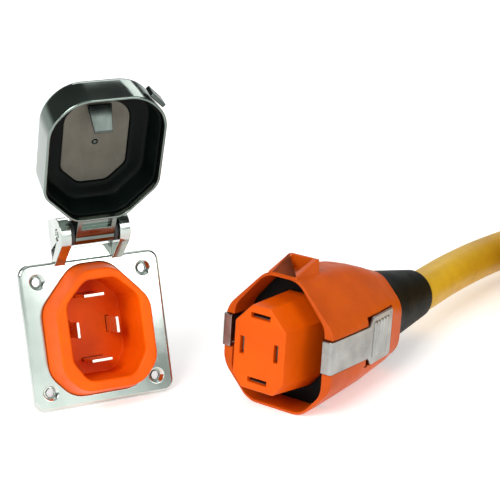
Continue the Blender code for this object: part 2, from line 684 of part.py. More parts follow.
CARRIER_T = 5.6 * MM
NOSE_TAPER = 2.0 * MM     # how much wider the nose is at its root
carrier_flange = keyed(MID_HALF, MID_RISE, MID_RISE, (MID_CUT, MID_CUT), (MID_CUT, MID_CUT), -GAP)
carrier_end = step_y + CARRIER_T
carrier = place("contact_carrier", loft([
    (0, nose(-0.8 * MM)), (0.9 * MM, nose()), (step_y, nose(NOSE_TAPER)), (step_y, carrier_flange),
    (carrier_end, carrier_flange),
]), ORANGE, connector)
SLOT_GROW = 0.6 * MM
CONTACT_GROW = 2.2 * MM
CONTACT_FROM = 3.6 * MM
CONTACT_TAIL = 5 * MM
CONTACT_SLOT = 26 * MM
SEAL_T = 4 * MM
cut(
    carrier,
    *[blade_box(c, h, -PAST, CONTACT_FROM, SLOT_GROW) for _, c, h, _ in BLADES],
    *[blade_box(c, h, CONTACT_FROM - GAP, carrier_end + PAST, CONTACT_GROW + GAP) for _, c, h, _ in BLADES],
)
for name, centre, half, _ in BLADES:
    outside = blade_box(centre, half, CONTACT_FROM, carrier_end + CONTACT_TAIL, CONTACT_GROW - 2 * GAP)
    contact = place(f"contact_{name}", outside, BRASS, connector)
    wide = [half[0], half[1]]
    long_way = 0 if half[0] > half[1] else 1
    wide[long_way] += CONTACT_GROW
    cut(contact, blade_box(centre, wide, CONTACT_FROM - PAST, CONTACT_FROM + CONTACT_SLOT, GAP))

seal = place("nose_seal", loft([
    (step_y - SEAL_T, shroud_inside(-2 * GAP)), (step_y - GAP, shroud_inside(-2 * GAP)),
]), RUBBER, connector)
cut(seal, loft([(step_y - SEAL_T - PAST, nose(NOSE_TAPER + GAP)), (step_y + PAST, nose(NOSE_TAPER + GAP))]))

# latches: a strip in each side slot, its hook bent in at the front and its grip widened at the rear
HOOK_Y = 16.2 * MM
LATCH_OUT = 0.7 * MM      # how far the strip stands out of the shell's side
HOOK_IN = 6.9 * MM
hook_back = HOOK_Y + LATCH_T
strip_x = [SHROUD_HALF + LATCH_OUT, SHROUD_HALF - 2.6 * MM + LATCH_OUT, SHROUD_HALF - 7.4 * MM + LATCH_OUT]
GRIP_Y, GRIP_FULL, LATCH_END = 61 * MM, 65.5 * MM, 93.5 * MM
grip_full_x = strip_x[1] - (strip_x[1] - strip_x[2]) * (GRIP_FULL - GRIP_Y) / (LATCH_END - GRIP_Y)
LATCH_STATIONS = [
    (HOOK_Y, strip_x[0] - HOOK_IN, strip_x[0], LATCH_HALF),
    (hook_back, strip_x[0] - HOOK_IN, strip_x[0], LATCH_HALF),
    (hook_back + 0.2 * MM, strip_x[0] - LATCH_T, strip_x[0], LATCH_HALF),
    (GRIP_Y, strip_x[1] - LATCH_T, strip_x[1], LATCH_HALF),
    (GRIP_FULL, grip_full_x - LATCH_T, grip_full_x, GRIP_HALF),
    (LATCH_END, strip_x[2] - LATCH_T, strip_x[2], GRIP_HALF),
]
for side, sign in (("left", -1), ("right", 1)):
    pivot = empty(f"latch_pivot_{side}", (sign * PIVOT_X, PIVOT_Y, 0), (0, 0, 0), connector)
    sections = []
    for y, inner, outer, half in LATCH_STATIONS:
        low, high = sign * (inner - PIVOT_X), sign * (outer - PIVOT_X)
        sections.append((y - PIVOT_Y, [(low, -half), (high, -half), (high, half), (low, half)]))
    latch = place(f"latch_{side}", loft(sections), STEEL, pivot)
    add(latch, cylinder(3.2 * MM, (0, 0, 0), (0, 0, 1), -8 * MM, 8 * MM, 16))
    cut(latch, cylinder(PIVOT_R + GAP, (0, 0, 0), (0, 0, 1), -9 * MM, 9 * MM, 12))
    place(f"latch_pin_{side}", cylinder(PIVOT_R, (sign * PIVOT_X, PIVOT_Y, 0), (0, 0, 1),
                                        -pivot_half, pivot_half, 12), STEEL, connector)
    spring_y, spring_half, leaf_t = 76 * MM, 6 * MM, 0.8 * MM
    low_x, high_x = grip_floor + GAP, strip_x[2] - LATCH_T - GAP
    leaf = [(-spring_half, low_x), (leaf_t * 1.6 - spring_half, low_x), (0, high_x - leaf_t),
            (spring_half - leaf_t * 1.6, low_x), (spring_half, low_x), (leaf_t, high_x), (-leaf_t, high_x)]

    def spring(made, leaf=leaf, sign=sign, spring_y=spring_y):
        low = [made.verts.new((sign * x, spring_y + y, -4 * MM)) for y, x in leaf]
        high = [made.verts.new((sign * x, spring_y + y, 4 * MM)) for y, x in leaf]
        made.faces.new(low)
        made.faces.new(list(reversed(high)))
        for i, corner in enumerate(low):
            j = (i + 1) % len(low)
            made.faces.new((corner, high[i], high[j], low[j]))

    place(f"latch_spring_{side}", spring, SPRING, connector)

# cable end, its clamp and the boot
CLAMP_FROM, CLAMP_TO = 66 * MM, 80 * MM
CLAMP_HALF, CLAMP_RISE = 20.8 * MM, 17.5 * MM
CLAMP_SCREW_X, CLAMP_SCREW_R = 17.7 * MM, 1.4 * MM
place("cable_end", cylinder(CABLE_R, rear_axis, (0, 1, 0), 62 * MM, BOOT_END - GAP, 24), YELLOW, connector)
for name, low, high in (("upper", GAP, CLAMP_RISE), ("lower", -CLAMP_RISE, -GAP)):
    block = box((-CLAMP_HALF, CLAMP_FROM, CABLE_RISE + low), (CLAMP_HALF, CLAMP_TO, CABLE_RISE + high))
    clamp = place(f"cable_clamp_{name}", block, BLACK, connector)
    cut(
        clamp,
        cylinder(CABLE_R + GAP, rear_axis, (0, 1, 0), CLAMP_FROM - PAST, CLAMP_TO + PAST, 24),
        *[cylinder(CLAMP_SCREW_R + GAP, (sign * CLAMP_SCREW_X, 73 * MM, CABLE_RISE), (0, 0, 1),
                   -CLAMP_RISE - PAST, CLAMP_RISE + PAST, 12) for sign in (-1, 1)],
    )
for side, sign in (("left", -1), ("right", 1)):
    screw(f"clamp_screw_{side}", (sign * CLAMP_SCREW_X, 73 * MM, CABLE_RISE + CLAMP_RISE + GAP), (0, 0, 1),
          2.6 * MM, 1.8 * MM, CLAMP_SCREW_R, 2 * CLAMP_RISE, connector)
place("strain_relief_boot", turned([
    (CABLE_R + GAP, BOOT_FROM), (BOOT_R, BOOT_FROM), (BOOT_R, SHELL_END + 1.5 * MM),
    (BOOT_R - 1.2 * MM, SHELL_END + 8 * MM), (BOOT_TIP_R, BOOT_END - 3 * MM),
    (BOOT_TIP_R - 1.0 * MM, BOOT_END), (CABLE_R + GAP, BOOT_END),
], rear_axis, (0, 1, 0), 28, True), RUBBER, connector)


# ---------------------------------------------------------------- cord
def smooth(points, steps):
    """Points on a smooth curve through the route's own points."""
    ends = [2 * Vector(points[0]) - Vector(points[1]), *map(Vector, points),
            2 * Vector(points[-1]) - Vector(points[-2])]
    curve = []
    for a, b, c, d in zip(ends, ends[1:], ends[2:], ends[3:]):
        for k in range(steps):
            t = k / steps
            curve.append(0.5 * (2 * b + (c - a) * t + (2 * a - 5 * b + 4 * c - d) * t * t
                                + (3 * b - a - 3 * c + d) * t ** 3))
    return curve + [Vector(points[-1])]


def tube(name, points, steps):
    data = bpy.data.curves.new(name, "CURVE")
    data.dimensions = "3D"
    data.bevel_depth = CABLE_R
    data.bevel_resolution = 4
    data.use_fill_caps = True
    path = smooth(points, steps)
    line = data.splines.new("POLY")
    line.points.add(len(path) - 1)
    for point, at in zip(line.points, path):
        point.co = (*at, 1)
    data.materials.append(looks[YELLOW[0]])
    item = bpy.data.objects.new(name, data)
    bpy.context.scene.collection.objects.link(item)
    return item


tube("shore_cable", CABLE_ROUTE, 1)
tube("shore_cable_tail", TAIL_ROUTE, 1)

coil_top = COIL_FLOOR + COIL_LAYERS * 2 * CABLE_R + (COIL_LAYERS - 1) * GAP
coil_in, coil_out = TURN_RADII[0] - CABLE_R, TURN_RADII[-1] + CABLE_R
COIL_ROUND = 7 * MM
COIL_SIDES = 48
coil_at = (*COIL_CENTRE, 0)
place("cable_coil", turned([
    (coil_in, COIL_FLOOR + COIL_ROUND), (coil_in + COIL_ROUND, COIL_FLOOR),
    (coil_out - COIL_ROUND, COIL_FLOOR), (coil_out, COIL_FLOOR + COIL_ROUND),
    (coil_out, coil_top - COIL_ROUND), (coil_out - COIL_ROUND, coil_top),
    (coil_in + COIL_ROUND, coil_top), (coil_in, coil_top - COIL_ROUND),
], coil_at, (0, 0, 1), COIL_SIDES, True), YELLOW, None)

TIE_HALF, TIE_T, TIE_SLACK = 10 * MM, 1.2 * MM, 0.6 * MM
tie_in = math.sqrt(coil_in ** 2 - TIE_HALF ** 2) * math.cos(math.pi / COIL_SIDES) - GAP
for i, degrees in enumerate(TIE_ANGLES):
    frame = empty(f"tie_frame_{i + 1}", coil_at, (0, 0, math.radians(degrees)))
    tie = place(f"coil_tie_{i + 1}", box(
        (tie_in - TIE_T, -TIE_HALF, COIL_FLOOR - TIE_SLACK - TIE_T),
        (coil_out + TIE_SLACK + TIE_T, TIE_HALF, coil_top + TIE_SLACK + TIE_T)), RUBBER, frame)
    cut(tie, box(
        (tie_in, -TIE_HALF - PAST, COIL_FLOOR - TIE_SLACK),
        (coil_out + TIE_SLACK, TIE_HALF + PAST, coil_top + TIE_SLACK)))

# shore plug: X right, Y towards the blades, Z up, from its boot's end
PLUG_BOOT_LONG = 34 * MM
PLUG_BOOT_R = 17 * MM
PLUG_FACE_T = 5 * MM
plug_z = coil_top + PLUG_R + GAP
plug_start = Vector(TAIL_ROUTE[-1])
plug_frame = empty("plug_frame", plug_start, (0, 0, PLUG_TURN))
plug_drop = plug_z - plug_start.z
boot_end = GAP + PLUG_BOOT_LONG
body_end = boot_end + GAP + PLUG_LONG
plug_axis = (0, 0, plug_drop)
place("plug_boot", turned([
    (0, GAP), (CABLE_R + 2 * MM, GAP), (PLUG_BOOT_R, GAP + 4 * MM), (PLUG_R - 7 * MM, boot_end),
    (0, boot_end),
], plug_axis, (0, 1, 0), 20), RUBBER, plug_frame)
place("plug_body", turned([
    (0, boot_end + GAP), (PLUG_R - 6 * MM, boot_end + GAP), (PLUG_R, boot_end + 12 * MM), (PLUG_R, body_end),
    (0, body_end),
], plug_axis, (0, 1, 0), 28), YELLOW, plug_frame)
face_from = body_end + GAP
face_end = face_from + PLUG_FACE_T
PLUG_BLADE_LONG = 24 * MM
# name, centre (x, z), half sizes (x, z)
PLUG_BLADES = [
    ("line_1", (-11.5 * MM, 0), (0.9 * MM, 6.2 * MM)), ("line_2", (11.5 * MM, 0), (0.9 * MM, 6.2 * MM)),
    ("neutral", (0, -12 * MM), (6.2 * MM, 0.9 * MM)),
]
EARTH_R = 3.6 * MM
earth_at = (0, 0, plug_drop + 13 * MM)
plug_face = place("plug_face", cylinder(PLUG_R - 1.5 * MM, plug_axis, (0, 1, 0), face_from, face_end, 28),
                  BLACK, plug_frame)
cut(
    plug_face,
    *[blade_box(c, h, face_from - PAST, face_end + PAST, GAP, plug_drop) for _, c, h in PLUG_BLADES],
    cylinder(EARTH_R + GAP, earth_at, (0, 1, 0), face_from - PAST, face_end + PAST, 14),
)
for name, centre, half in PLUG_BLADES:
    place(f"plug_blade_{name}", blade_box(centre, half, face_from, face_end + PLUG_BLADE_LONG, 0, plug_drop),
          BRASS, plug_frame)
place("plug_earth_pin", turned([
    (0, face_from), (EARTH_R, face_from), (EARTH_R, face_end + PLUG_BLADE_LONG),
    (0.5 * EARTH_R, face_end + PLUG_BLADE_LONG + 3 * MM), (0, face_end + PLUG_BLADE_LONG + 3 * MM),
], earth_at, (0, 1, 0), 14), BRASS, plug_frame)
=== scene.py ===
"""Looks for the shore power set: lidded inlet, locking connector, coiled cord and shore plug."""

import math

import bmesh
import bpy
from mathutils import Euler, Matrix, Vector


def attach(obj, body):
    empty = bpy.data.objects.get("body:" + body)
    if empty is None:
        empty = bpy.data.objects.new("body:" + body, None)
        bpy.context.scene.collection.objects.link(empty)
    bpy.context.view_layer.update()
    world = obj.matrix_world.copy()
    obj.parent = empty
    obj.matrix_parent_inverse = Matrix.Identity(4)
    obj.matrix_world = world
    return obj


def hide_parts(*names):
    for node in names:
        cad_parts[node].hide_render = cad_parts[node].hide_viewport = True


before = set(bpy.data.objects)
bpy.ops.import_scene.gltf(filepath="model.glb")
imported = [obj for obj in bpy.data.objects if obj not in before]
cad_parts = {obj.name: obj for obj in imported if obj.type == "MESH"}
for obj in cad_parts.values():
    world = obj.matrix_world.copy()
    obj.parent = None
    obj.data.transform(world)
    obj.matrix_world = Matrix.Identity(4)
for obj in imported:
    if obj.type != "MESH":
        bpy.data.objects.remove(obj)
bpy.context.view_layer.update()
scene = bpy.context.scene
MM = 0.001
GAP = 0.3 * MM
PAST = 1.0 * MM

# ---------------------------------------------------------------- camera
camera_data = bpy.data.cameras.new("camera")
camera_data.lens = 103.1
camera_data.sensor_width = 36
camera = bpy.data.objects.new("camera", camera_data)
camera.location = (0.0083, -0.8449, 0.3677)
camera.rotation_euler = (math.radians(90 - 18.6), 0, 0)
scene.collection.objects.link(camera)
scene.camera = camera


# ---------------------------------------------------------------- assembly frames, as in the CAD
def standing(x, y, z, tilt, turn):
    return Matrix.Translation((x, y, z)) @ Euler((tilt, 0, turn)).to_matrix().to_4x4()


FLANGE_HALF = 44.45 * MM
FLANGE_T = 4.0 * MM
KEY_Z = 1.4 * MM
HOUSING_END, HOUSING_RISE = 46.0 * MM, 31.95 * MM
lean = math.atan2(FLANGE_HALF + KEY_Z - HOUSING_RISE, HOUSING_END - FLANGE_T)
inlet_z = FLANGE_HALF * math.cos(lean) + FLANGE_T * math.sin(lean)
INLET = standing(-84.48 * MM, -33.41 * MM, inlet_z, -lean, math.radians(23.8))
PIN_Y, PIN_Z, PIN_R = -14.0 * MM, 60.3 * MM, 3.4 * MM
COVER = INLET @ Matrix.Translation((0, PIN_Y, PIN_Z)) @ Matrix.Rotation(math.radians(-140.5), 4, "X")
SHROUD_AT, SHROUD_HALF, SHROUD_TOP, SHROUD_BOTTOM = 18.3 * MM, 40.0 * MM, 42.4 * MM, 41.6 * MM
NOSE_UP = math.radians(5.6)
connector_z = SHROUD_AT * math.sin(NOSE_UP) + SHROUD_BOTTOM * math.cos(NOSE_UP) + 0.1 * MM
CONNECTOR = standing(13.32 * MM, -64.71 * MM, connector_z, -NOSE_UP, math.radians(-37.9))


# ---------------------------------------------------------------- outlines
def rounded(corners, radii, steps=8):
    """A closed outline with each corner turned into an arc that fits its shorter side."""
    outline = []
    count = len(corners)
    for i, (corner, radius) in enumerate(zip(corners, radii)):
        here = Vector(corner)
        back = Vector(corners[i - 1]) - here
        ahead = Vector(corners[(i + 1) % count]) - here
        turn = math.pi - back.angle(ahead)
        reach = min(radius * math.tan(turn / 2), 0.48 * back.length, 0.48 * ahead.length)
        arc = reach / math.tan(turn / 2)
        inward = (back.normalized() + ahead.normalized()).normalized()
        centre = here + inward * (arc / math.cos(turn / 2))
        start = here + back.normalized() * reach - centre
        spin = 1 if back.cross(ahead) < 0 else -1
        for k in range(steps + 1):
            angle = spin * turn * k / steps
            cos, sin = math.cos(angle), math.sin(angle)
            outline.append((centre.x + start.x * cos - start.y * sin,
                            centre.y + start.x * sin + start.y * cos))
    return outline


def keyed(half, top, bottom, top_cut, bottom_cut, grow=0.0, centre=0.0, radii=(5 * MM, 5 * MM), steps=8):
    """The keyed eight-sided outline: big corner cuts at the top, small ones at the bottom.

    The radii are the top corners' and the bottom corners'.
    """
    half, top, bottom = half + grow, top + grow, bottom + grow
    tx, tz = (c + 0.586 * grow for c in top_cut)
    bx, bz = (c + 0.586 * grow for c in bottom_cut)
    corners = [
        (half - bx, -bottom), (half, bz - bottom), (half, top - tz), (half - tx, top),
        (tx - half, top), (-half, top - tz), (-half, bz - bottom), (bx - half, -bottom),
    ]
    upper, lower = radii
    each = [lower] * 2 + [upper] * 4 + [lower] * 2
    return [(x, z + centre) for x, z in rounded(corners, each, steps)]


def square(half, corner, steps=10):
    return rounded([(half, -half), (half, half), (-half, half), (-half, -half)], [corner] * 4, steps)


def quarter(y, grow, radius, steps=5):
    """(distance, growth) pairs of a rounded edge that starts narrow at y and widens behind it."""
    turns = [math.pi / 2 * k / steps for k in range(steps + 1)]
    return [(y + radius * (1 - math.cos(a)), grow - radius * (1 - math.sin(a))) for a in turns]


# ---------------------------------------------------------------- mesh makers
def loft(sections, ring=False):
    """Sections are (y, outline of (x, z)) pairs; a ring joins its last section to its first."""
    def build(made):
        rings = [[made.verts.new((x, y, z)) for x, z in outline] for y, outline in sections]
        pairs = list(zip(rings, rings[1:])) + ([(rings[-1], rings[0])] if ring else [])
        for low, high in pairs:
            for i, corner in enumerate(low):
                j = (i + 1) % len(low)
                made.faces.new((corner, low[j], high[j], high[i]))
        if not ring:
            made.faces.new(rings[0])
            made.faces.new(list(reversed(rings[-1])))
    return build


def box(low, high):
    def build(made):
        bmesh.ops.create_cube(made, size=1.0)
        size = [h - l for l, h in zip(low, high)]
        middle = [(h + l) / 2 for l, h in zip(low, high)]
        bmesh.ops.scale(made, vec=size, verts=made.verts)
        bmesh.ops.translate(made, vec=middle, verts=made.verts)
    return build


def prism(profile, low, high, axis="X"):
    """A profile extruded along an axis: (y, z) points along X, or (x, y) points along Z."""
    def at(point, along):
        return (along, *point) if axis == "X" else (*point, along)

    def build(made):
        near = [made.verts.new(at(p, low)) for p in profile]
        far = [made.verts.new(at(p, high)) for p in profile]
        made.faces.new(near)
        made.faces.new(list(reversed(far)))
        for i, corner in enumerate(near):
            j = (i + 1) % len(near)
            made.faces.new((corner, far[i], far[j], near[j]))
    return build


def turned(profile, at, axis, sides=48, closed=False):
    """A profile of (radius, distance) points, turned about an axis through a point."""
    turn = Vector((0, 0, 1)).rotation_difference(Vector(axis)).to_matrix().to_4x4()
    matrix = Matrix.Translation(at) @ turn

    def build(made):
        rings = []
        for radius, along in profile:
            if radius == 0:
                rings.append([made.verts.new(matrix @ Vector((0, 0, along)))])
                continue
            angles = [2 * math.pi * i / sides for i in range(sides)]
            rings.append([
                made.verts.new(matrix @ Vector((radius * math.cos(a), radius * math.sin(a), along)))
                for a in angles
            ])
        pairs = list(zip(rings, rings[1:])) + ([(rings[-1], rings[0])] if closed else [])
        for low, high in pairs:
            for i in range(sides):
                j = (i + 1) % sides
                face = [low[i % len(low)], low[j % len(low)], high[j % len(high)], high[i % len(high)]]
                made.faces.new(list(dict.fromkeys(face)))
    return build


def cylinder(radius, at, axis, low, high, sides=32):
    return turned([(0, low), (radius, low), (radius, high), (0, high)], at, axis, sides)


def solid(name, maker):
    made = bmesh.new()
    maker(made)
    bmesh.ops.remove_doubles(made, verts=made.verts, dist=0.000005)
    bmesh.ops.recalc_face_normals(made, faces=made.faces)
    mesh = bpy.data.meshes.new(name)
    made.to_mesh(mesh)
    made.free()
    item = bpy.data.objects.new(name, mesh)
    scene.collection.objects.link(item)
    return item


def finished(item, bevel, segments, angle):
    """Rounds the edges, smooths the faces and applies every modifier."""
    if bevel:
        weld = item.modifiers.new("weld", "WELD")
        weld.merge_threshold = 0.00002
        edges = item.modifiers.new("edges", "BEVEL")
        edges.width = bevel
        edges.segments = segments
        edges.limit_method = "ANGLE"
        edges.angle_limit = math.radians(angle)
        edges.use_clamp_overlap = False
    graph = bpy.context.evaluated_depsgraph_get()
    mesh = bpy.data.meshes.new_from_object(item.evaluated_get(graph))
    item.modifiers.clear()
    item.data = mesh
    mesh.shade_smooth()
    mesh.set_sharp_from_angle(angle=math.radians(40))
    normals = item.modifiers.new("normals", "WEIGHTED_NORMAL")
    normals.keep_sharp = True
    graph = bpy.context.evaluated_depsgraph_get()
    item.data = bpy.data.meshes.new_from_object(item.evaluated_get(graph))
    item.modifiers.clear()


def ride(item, look, body, nodes):
    item.data.materials.clear()
    item.data.materials.append(look["material"])
    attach(item, body)
    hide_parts(*nodes)
    return item


def piece(name, maker, place, body, look, nodes, add=(), keep=(), cut=(), bevel=0.0, segments=3, angle=30):
    """A detailed piece in its assembly's frame, in place of its CAD nodes."""
    item = solid(name, maker)
    helpers = []
    for operation, makers in (("UNION", add), ("INTERSECT", keep), ("DIFFERENCE", cut)):
        for one in makers:
            helper = solid("helper", one)
            helpers.append(helper)
            step = item.modifiers.new(operation, "BOOLEAN")
            step.operation = operation
            step.solver = "EXACT"
            step.object = helper
    finished(item, bevel, segments, angle)
    for helper in helpers:
        bpy.data.objects.remove(helper, do_unlink=True)
    item.matrix_world = place
    return ride(item, look, body, nodes)


def refined(node, body, look, bevel, segments=2, angle=30):
    """A copy of a CAD node with rounded edges and smooth faces, in its place."""
    made = bmesh.new()
    made.from_mesh(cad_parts[node].data)
    bmesh.ops.remove_doubles(made, verts=made.verts, dist=0.000005)
    bmesh.ops.dissolve_limit(made, angle_limit=math.radians(1), verts=made.verts, edges=made.edges)
    mesh = bpy.data.meshes.new(node + "_fine")
    made.to_mesh(mesh)
    made.free()
    item = bpy.data.objects.new(node + "_fine", mesh)
    scene.collection.objects.link(item)
    finished(item, bevel, segments, angle)
    return ride(item, look, body, [node])


# ---------------------------------------------------------------- materials
class Look:
    """A procedural material: mottled colour, uneven roughness and a fine bump."""

    def __init__(self, name, metallic=0.0, **fixed):
        self.material = bpy.data.materials.new(name)
        self.material.use_nodes = True
        self.tree = self.material.node_tree
        self.shader = self.tree.nodes["Principled BSDF"]
        self.shader.inputs["Metallic"].default_value = metallic
        for socket, value in fixed.items():
            self.shader.inputs[socket.replace("_", " ")].default_value = value
        self.where = self.tree.nodes.new("ShaderNodeTexCoord").outputs["Object"]

    def link(self, out, into):
        self.tree.links.new(out, into)

    def stretched(self, scale):
        mapping = self.tree.nodes.new("ShaderNodeMapping")
        mapping.inputs["Scale"].default_value = scale
        self.link(self.where, mapping.inputs["Vector"])
        return mapping.outputs["Vector"]

    def noise(self, scale, detail=4.0, stretch=None, rough=0.55):
        node = self.tree.nodes.new("ShaderNodeTexNoise")
        node.inputs["Scale"].default_value = scale
        node.inputs["Detail"].default_value = detail
        node.inputs["Roughness"].default_value = rough
        self.link(self.stretched(stretch) if stretch else self.where, node.inputs["Vector"])
        return node.outputs["Fac"]

    def colour(self, value, stops):
        ramp = self.tree.nodes.new("ShaderNodeValToRGB")
        while len(ramp.color_ramp.elements) < len(stops):
            ramp.color_ramp.elements.new(0.5)
        for element, (at, colour) in zip(ramp.color_ramp.elements, stops):
            element.position = at
            element.color = (*colour, 1.0)
        self.link(value, ramp.inputs["Fac"])
        self.link(ramp.outputs["Color"], self.shader.inputs["Base Color"])

    def roughness(self, value, low, high):
        spread = self.tree.nodes.new("ShaderNodeMapRange")
        spread.inputs["From Min"].default_value = 0.3
        spread.inputs["From Max"].default_value = 0.7
        spread.inputs["To Min"].default_value = low
        spread.inputs["To Max"].default_value = high
        self.link(value, spread.inputs["Value"])
        self.link(spread.outputs["Result"], self.shader.inputs["Roughness"])

    def bumps(self, *layers):
        """Layers are (height value, depth in metres, strength), the first one deepest."""
        under = None
        for value, depth, strength in layers:
            bump = self.tree.nodes.new("ShaderNodeBump")
            bump.inputs["Distance"].default_value = depth
            bump.inputs["Strength"].default_value = strength
            self.link(value, bump.inputs["Height"])
            if under:
                self.link(under, bump.inputs["Normal"])
            under = bump.outputs["Normal"]
        self.link(under, self.shader.inputs["Normal"])

    def waves(self, scale, distortion, axis="Z"):
        node = self.tree.nodes.new("ShaderNodeTexWave")
        node.bands_direction = axis
        node.inputs["Scale"].default_value = scale
        node.inputs["Distortion"].default_value = distortion
        self.link(self.where, node.inputs["Vector"])
        return node.outputs["Fac"]


def as_look(made, slot):
    return {"material": made.material, "slot": slot}


def polished(name, light, dark, low, high, wave=0.00004):
    look = Look(name, 1.0)
    smudge = look.noise(38, 5)
    look.colour(look.noise(22, 3), [(0.35, dark), (0.62, light)])
    look.roughness(smudge, low, high)
    look.bumps((look.noise(26, 2), wave, 1.0), (look.noise(1500, 3), 0.000004, 0.35))
    return as_look(look, "stainless_steel")


def brushed(name, light, dark, stretch, low, high, slot, metallic=1.0, depth=0.00001, **fixed):
    look = Look(name, metallic, **fixed)
    grain = look.noise(30, 6, stretch, 0.7)
    look.colour(look.noise(60, 5), [(0.3, dark), (0.7, light)])
    look.roughness(grain, low, high)
    look.bumps((look.noise(140, 3), 0.00003, 0.5), (grain, depth, 0.8))
    return as_look(look, slot)


def moulded(name, light, dark, low, high, slot, grain=900, depth=0.00003, **fixed):
    look = Look(name, 0.0, **fixed)
    look.colour(look.noise(34, 6, None, 0.6), [(0.3, dark), (0.68, light)])
    look.roughness(look.noise(55, 5), low, high)
    look.bumps((look.noise(60, 3), 0.0001, 0.35), (look.noise(grain, 4), depth, 0.6))
    return as_look(look, slot)


STEEL = polished("polished_steel", (0.62, 0.66, 0.62), (0.44, 0.48, 0.45), 0.08, 0.17)
# The cover's steel is a darker copy of the polished stainless: painted shade in place of the dark
# surroundings it reflects.
SHADED_COVER_STEEL = polished("cover_steel_painted_shade", (0.20, 0.24, 0.215), (0.13, 0.16, 0.145), 0.07, 0.15, 0.00006)
LATCH_STEEL = brushed("latch_steel", (0.42, 0.42, 0.40), (0.26, 0.26, 0.25), (1, 1, 22), 0.24, 0.40,
                      "stainless_steel")
# The catch's steel, also used for the plate rivet and thumb tab, is a near-black copy of the stainless:
# painted shade in place of the dark liner it reflects.
SHADED_CATCH_STEEL = brushed("catch_steel_painted_shade", (0.10, 0.12, 0.11), (0.05, 0.06, 0.055), (22, 1, 1), 0.16, 0.28,
                      "stainless_steel")
ORANGE = moulded("orange_inlet", (0.90, 0.118, 0.0), (0.74, 0.084, 0.0), 0.34, 0.50, "orange_nylon",
                 Specular_IOR_Level=0.14)
# The connector shell's orange is a darker copy of the inlet's orange nylon: painted shade on the shell.
SHADED_SHELL_ORANGE = moulded("orange_shell_painted_shade", (0.60, 0.086, 0.0), (0.46, 0.060, 0.0), 0.38, 0.56,
                       "orange_nylon", Specular_IOR_Level=0.2)
# The contact carrier's orange is a darker copy of the inlet's orange nylon: painted shade on the nose.
SHADED_NOSE_ORANGE = moulded("orange_nose_painted_shade", (0.76, 0.102, 0.0), (0.64, 0.078, 0.0), 0.40, 0.56,
                      "orange_nylon", Specular_IOR_Level=0.14)
RUBBER = moulded("black_rubber", (0.003, 0.004, 0.004), (0.001, 0.002, 0.002), 0.46, 0.62,
                 "black_rubber", 1400, 0.00002, Specular_IOR_Level=0.10)
LINER = moulded("liner_rubber", (0.002, 0.005, 0.004), (0.0008, 0.0016, 0.0014), 0.34, 0.50,
                "black_rubber", 1100, 0.00002, Specular_IOR_Level=0.08)
NYLON = moulded("black_nylon", (0.030, 0.031, 0.031), (0.016, 0.017, 0.017), 0.42, 0.58, "black_nylon")
YELLOW = moulded("yellow_jacket", (0.66, 0.40, 0.016), (0.52, 0.29, 0.010), 0.36, 0.56,
                 "yellow_jacket", 700, 0.00004)
PLUG_YELLOW = moulded("yellow_plug", (0.70, 0.42, 0.020), (0.58, 0.33, 0.014), 0.38, 0.54, "yellow_plug")
PLATE = brushed("grey_plate", (0.150, 0.144, 0.116), (0.108, 0.104, 0.082), (24, 1, 1), 0.44, 0.60,
                "grey_plate", 0.55, 0.000008)
PLATED = brushed("plated_contact", (0.90, 0.87, 0.78), (0.76, 0.72, 0.62), (1, 14, 1), 0.20, 0.36,
                 "contact_metal")
SPRING = brushed("spring_steel", (0.50, 0.50, 0.49), (0.36, 0.36, 0.35), (1, 14, 1), 0.26, 0.42,
                 "spring_steel")


def woven(name):
    look = Look(name, 0.0, Sheen_Weight=0.35, Sheen_Roughness=0.5)
    look.colour(look.noise(240, 4), [(0.3, (0.010, 0.010, 0.011)), (0.7, (0.034, 0.034, 0.036))])
    look.roughness(look.noise(90, 4), 0.78, 0.95)
    look.bumps((look.waves(260, 1.5, "X"), 0.0003, 0.5), (look.waves(260, 1.5, "Z"), 0.0003, 0.5),
               (look.noise(1600, 4), 0.0002, 0.6))
    return as_look(look, "black_rubber")


WEBBING = woven("hook_and_loop")

# ---------------------------------------------------------------- cord, in one curve from boot to plug
CABLE_R = 14.0 * MM
CABLE_ROUTE = [
    (0.1187, 0.0707, 0.0280), (0.1260, 0.0801, 0.0268), (0.1440, 0.1080, 0.0262),
    (0.1645, 0.1385, 0.0247), (0.1915, 0.1735, 0.0227),
]
COIL_CENTRE = (0.4031, 0.1375)
TURN_RADII = (0.1300, 0.1583, 0.1866)
COIL_LAYERS = 3
COIL_FLOOR = 0.0020
COIL_ENTRY = 142.0
COIL_TURNS = 7.122
STEPS_A_TURN = 28
TAIL_ROUTE = [
    (0.3840, 0.2737, 0.1014), (0.4170, 0.2693, 0.1045), (0.4477, 0.2601, 0.1098),
    (0.4758, 0.2453, 0.1145), (0.4907, 0.2353, 0.1158), (0.5056, 0.2253, 0.1159),
]
PLUG_TURN = math.radians(-124.0)


def smooth(points, steps):
    """Points on a smooth curve through the route's own points."""
    ends = [2 * Vector(points[0]) - Vector(points[1]), *map(Vector, points),
            2 * Vector(points[-1]) - Vector(points[-2])]
    curve = []
    for a, b, c, d in zip(ends, ends[1:], ends[2:], ends[3:]):
        for k in range(steps):
            t = k / steps
            curve.append(0.5 * (2 * b + (c - a) * t + (2 * a - 5 * b + 4 * c - d) * t * t
                                + (3 * b - a - 3 * c + d) * t ** 3))
    return curve + [Vector(points[-1])]


TAIL_RADIUS = (Vector(TAIL_ROUTE[0][:2]) - Vector(COIL_CENTRE)).length


def stepped(value, stages):
    """Follows (from, to, level) stages, easing to each level between its two turns."""
    level = stages[0][2]
    for start, end, to in stages[1:]:
        t = min(max((value - start) / (end - start), 0.0), 1.0)
        level += (to - level) * t * t * (3 - 2 * t)
    return level


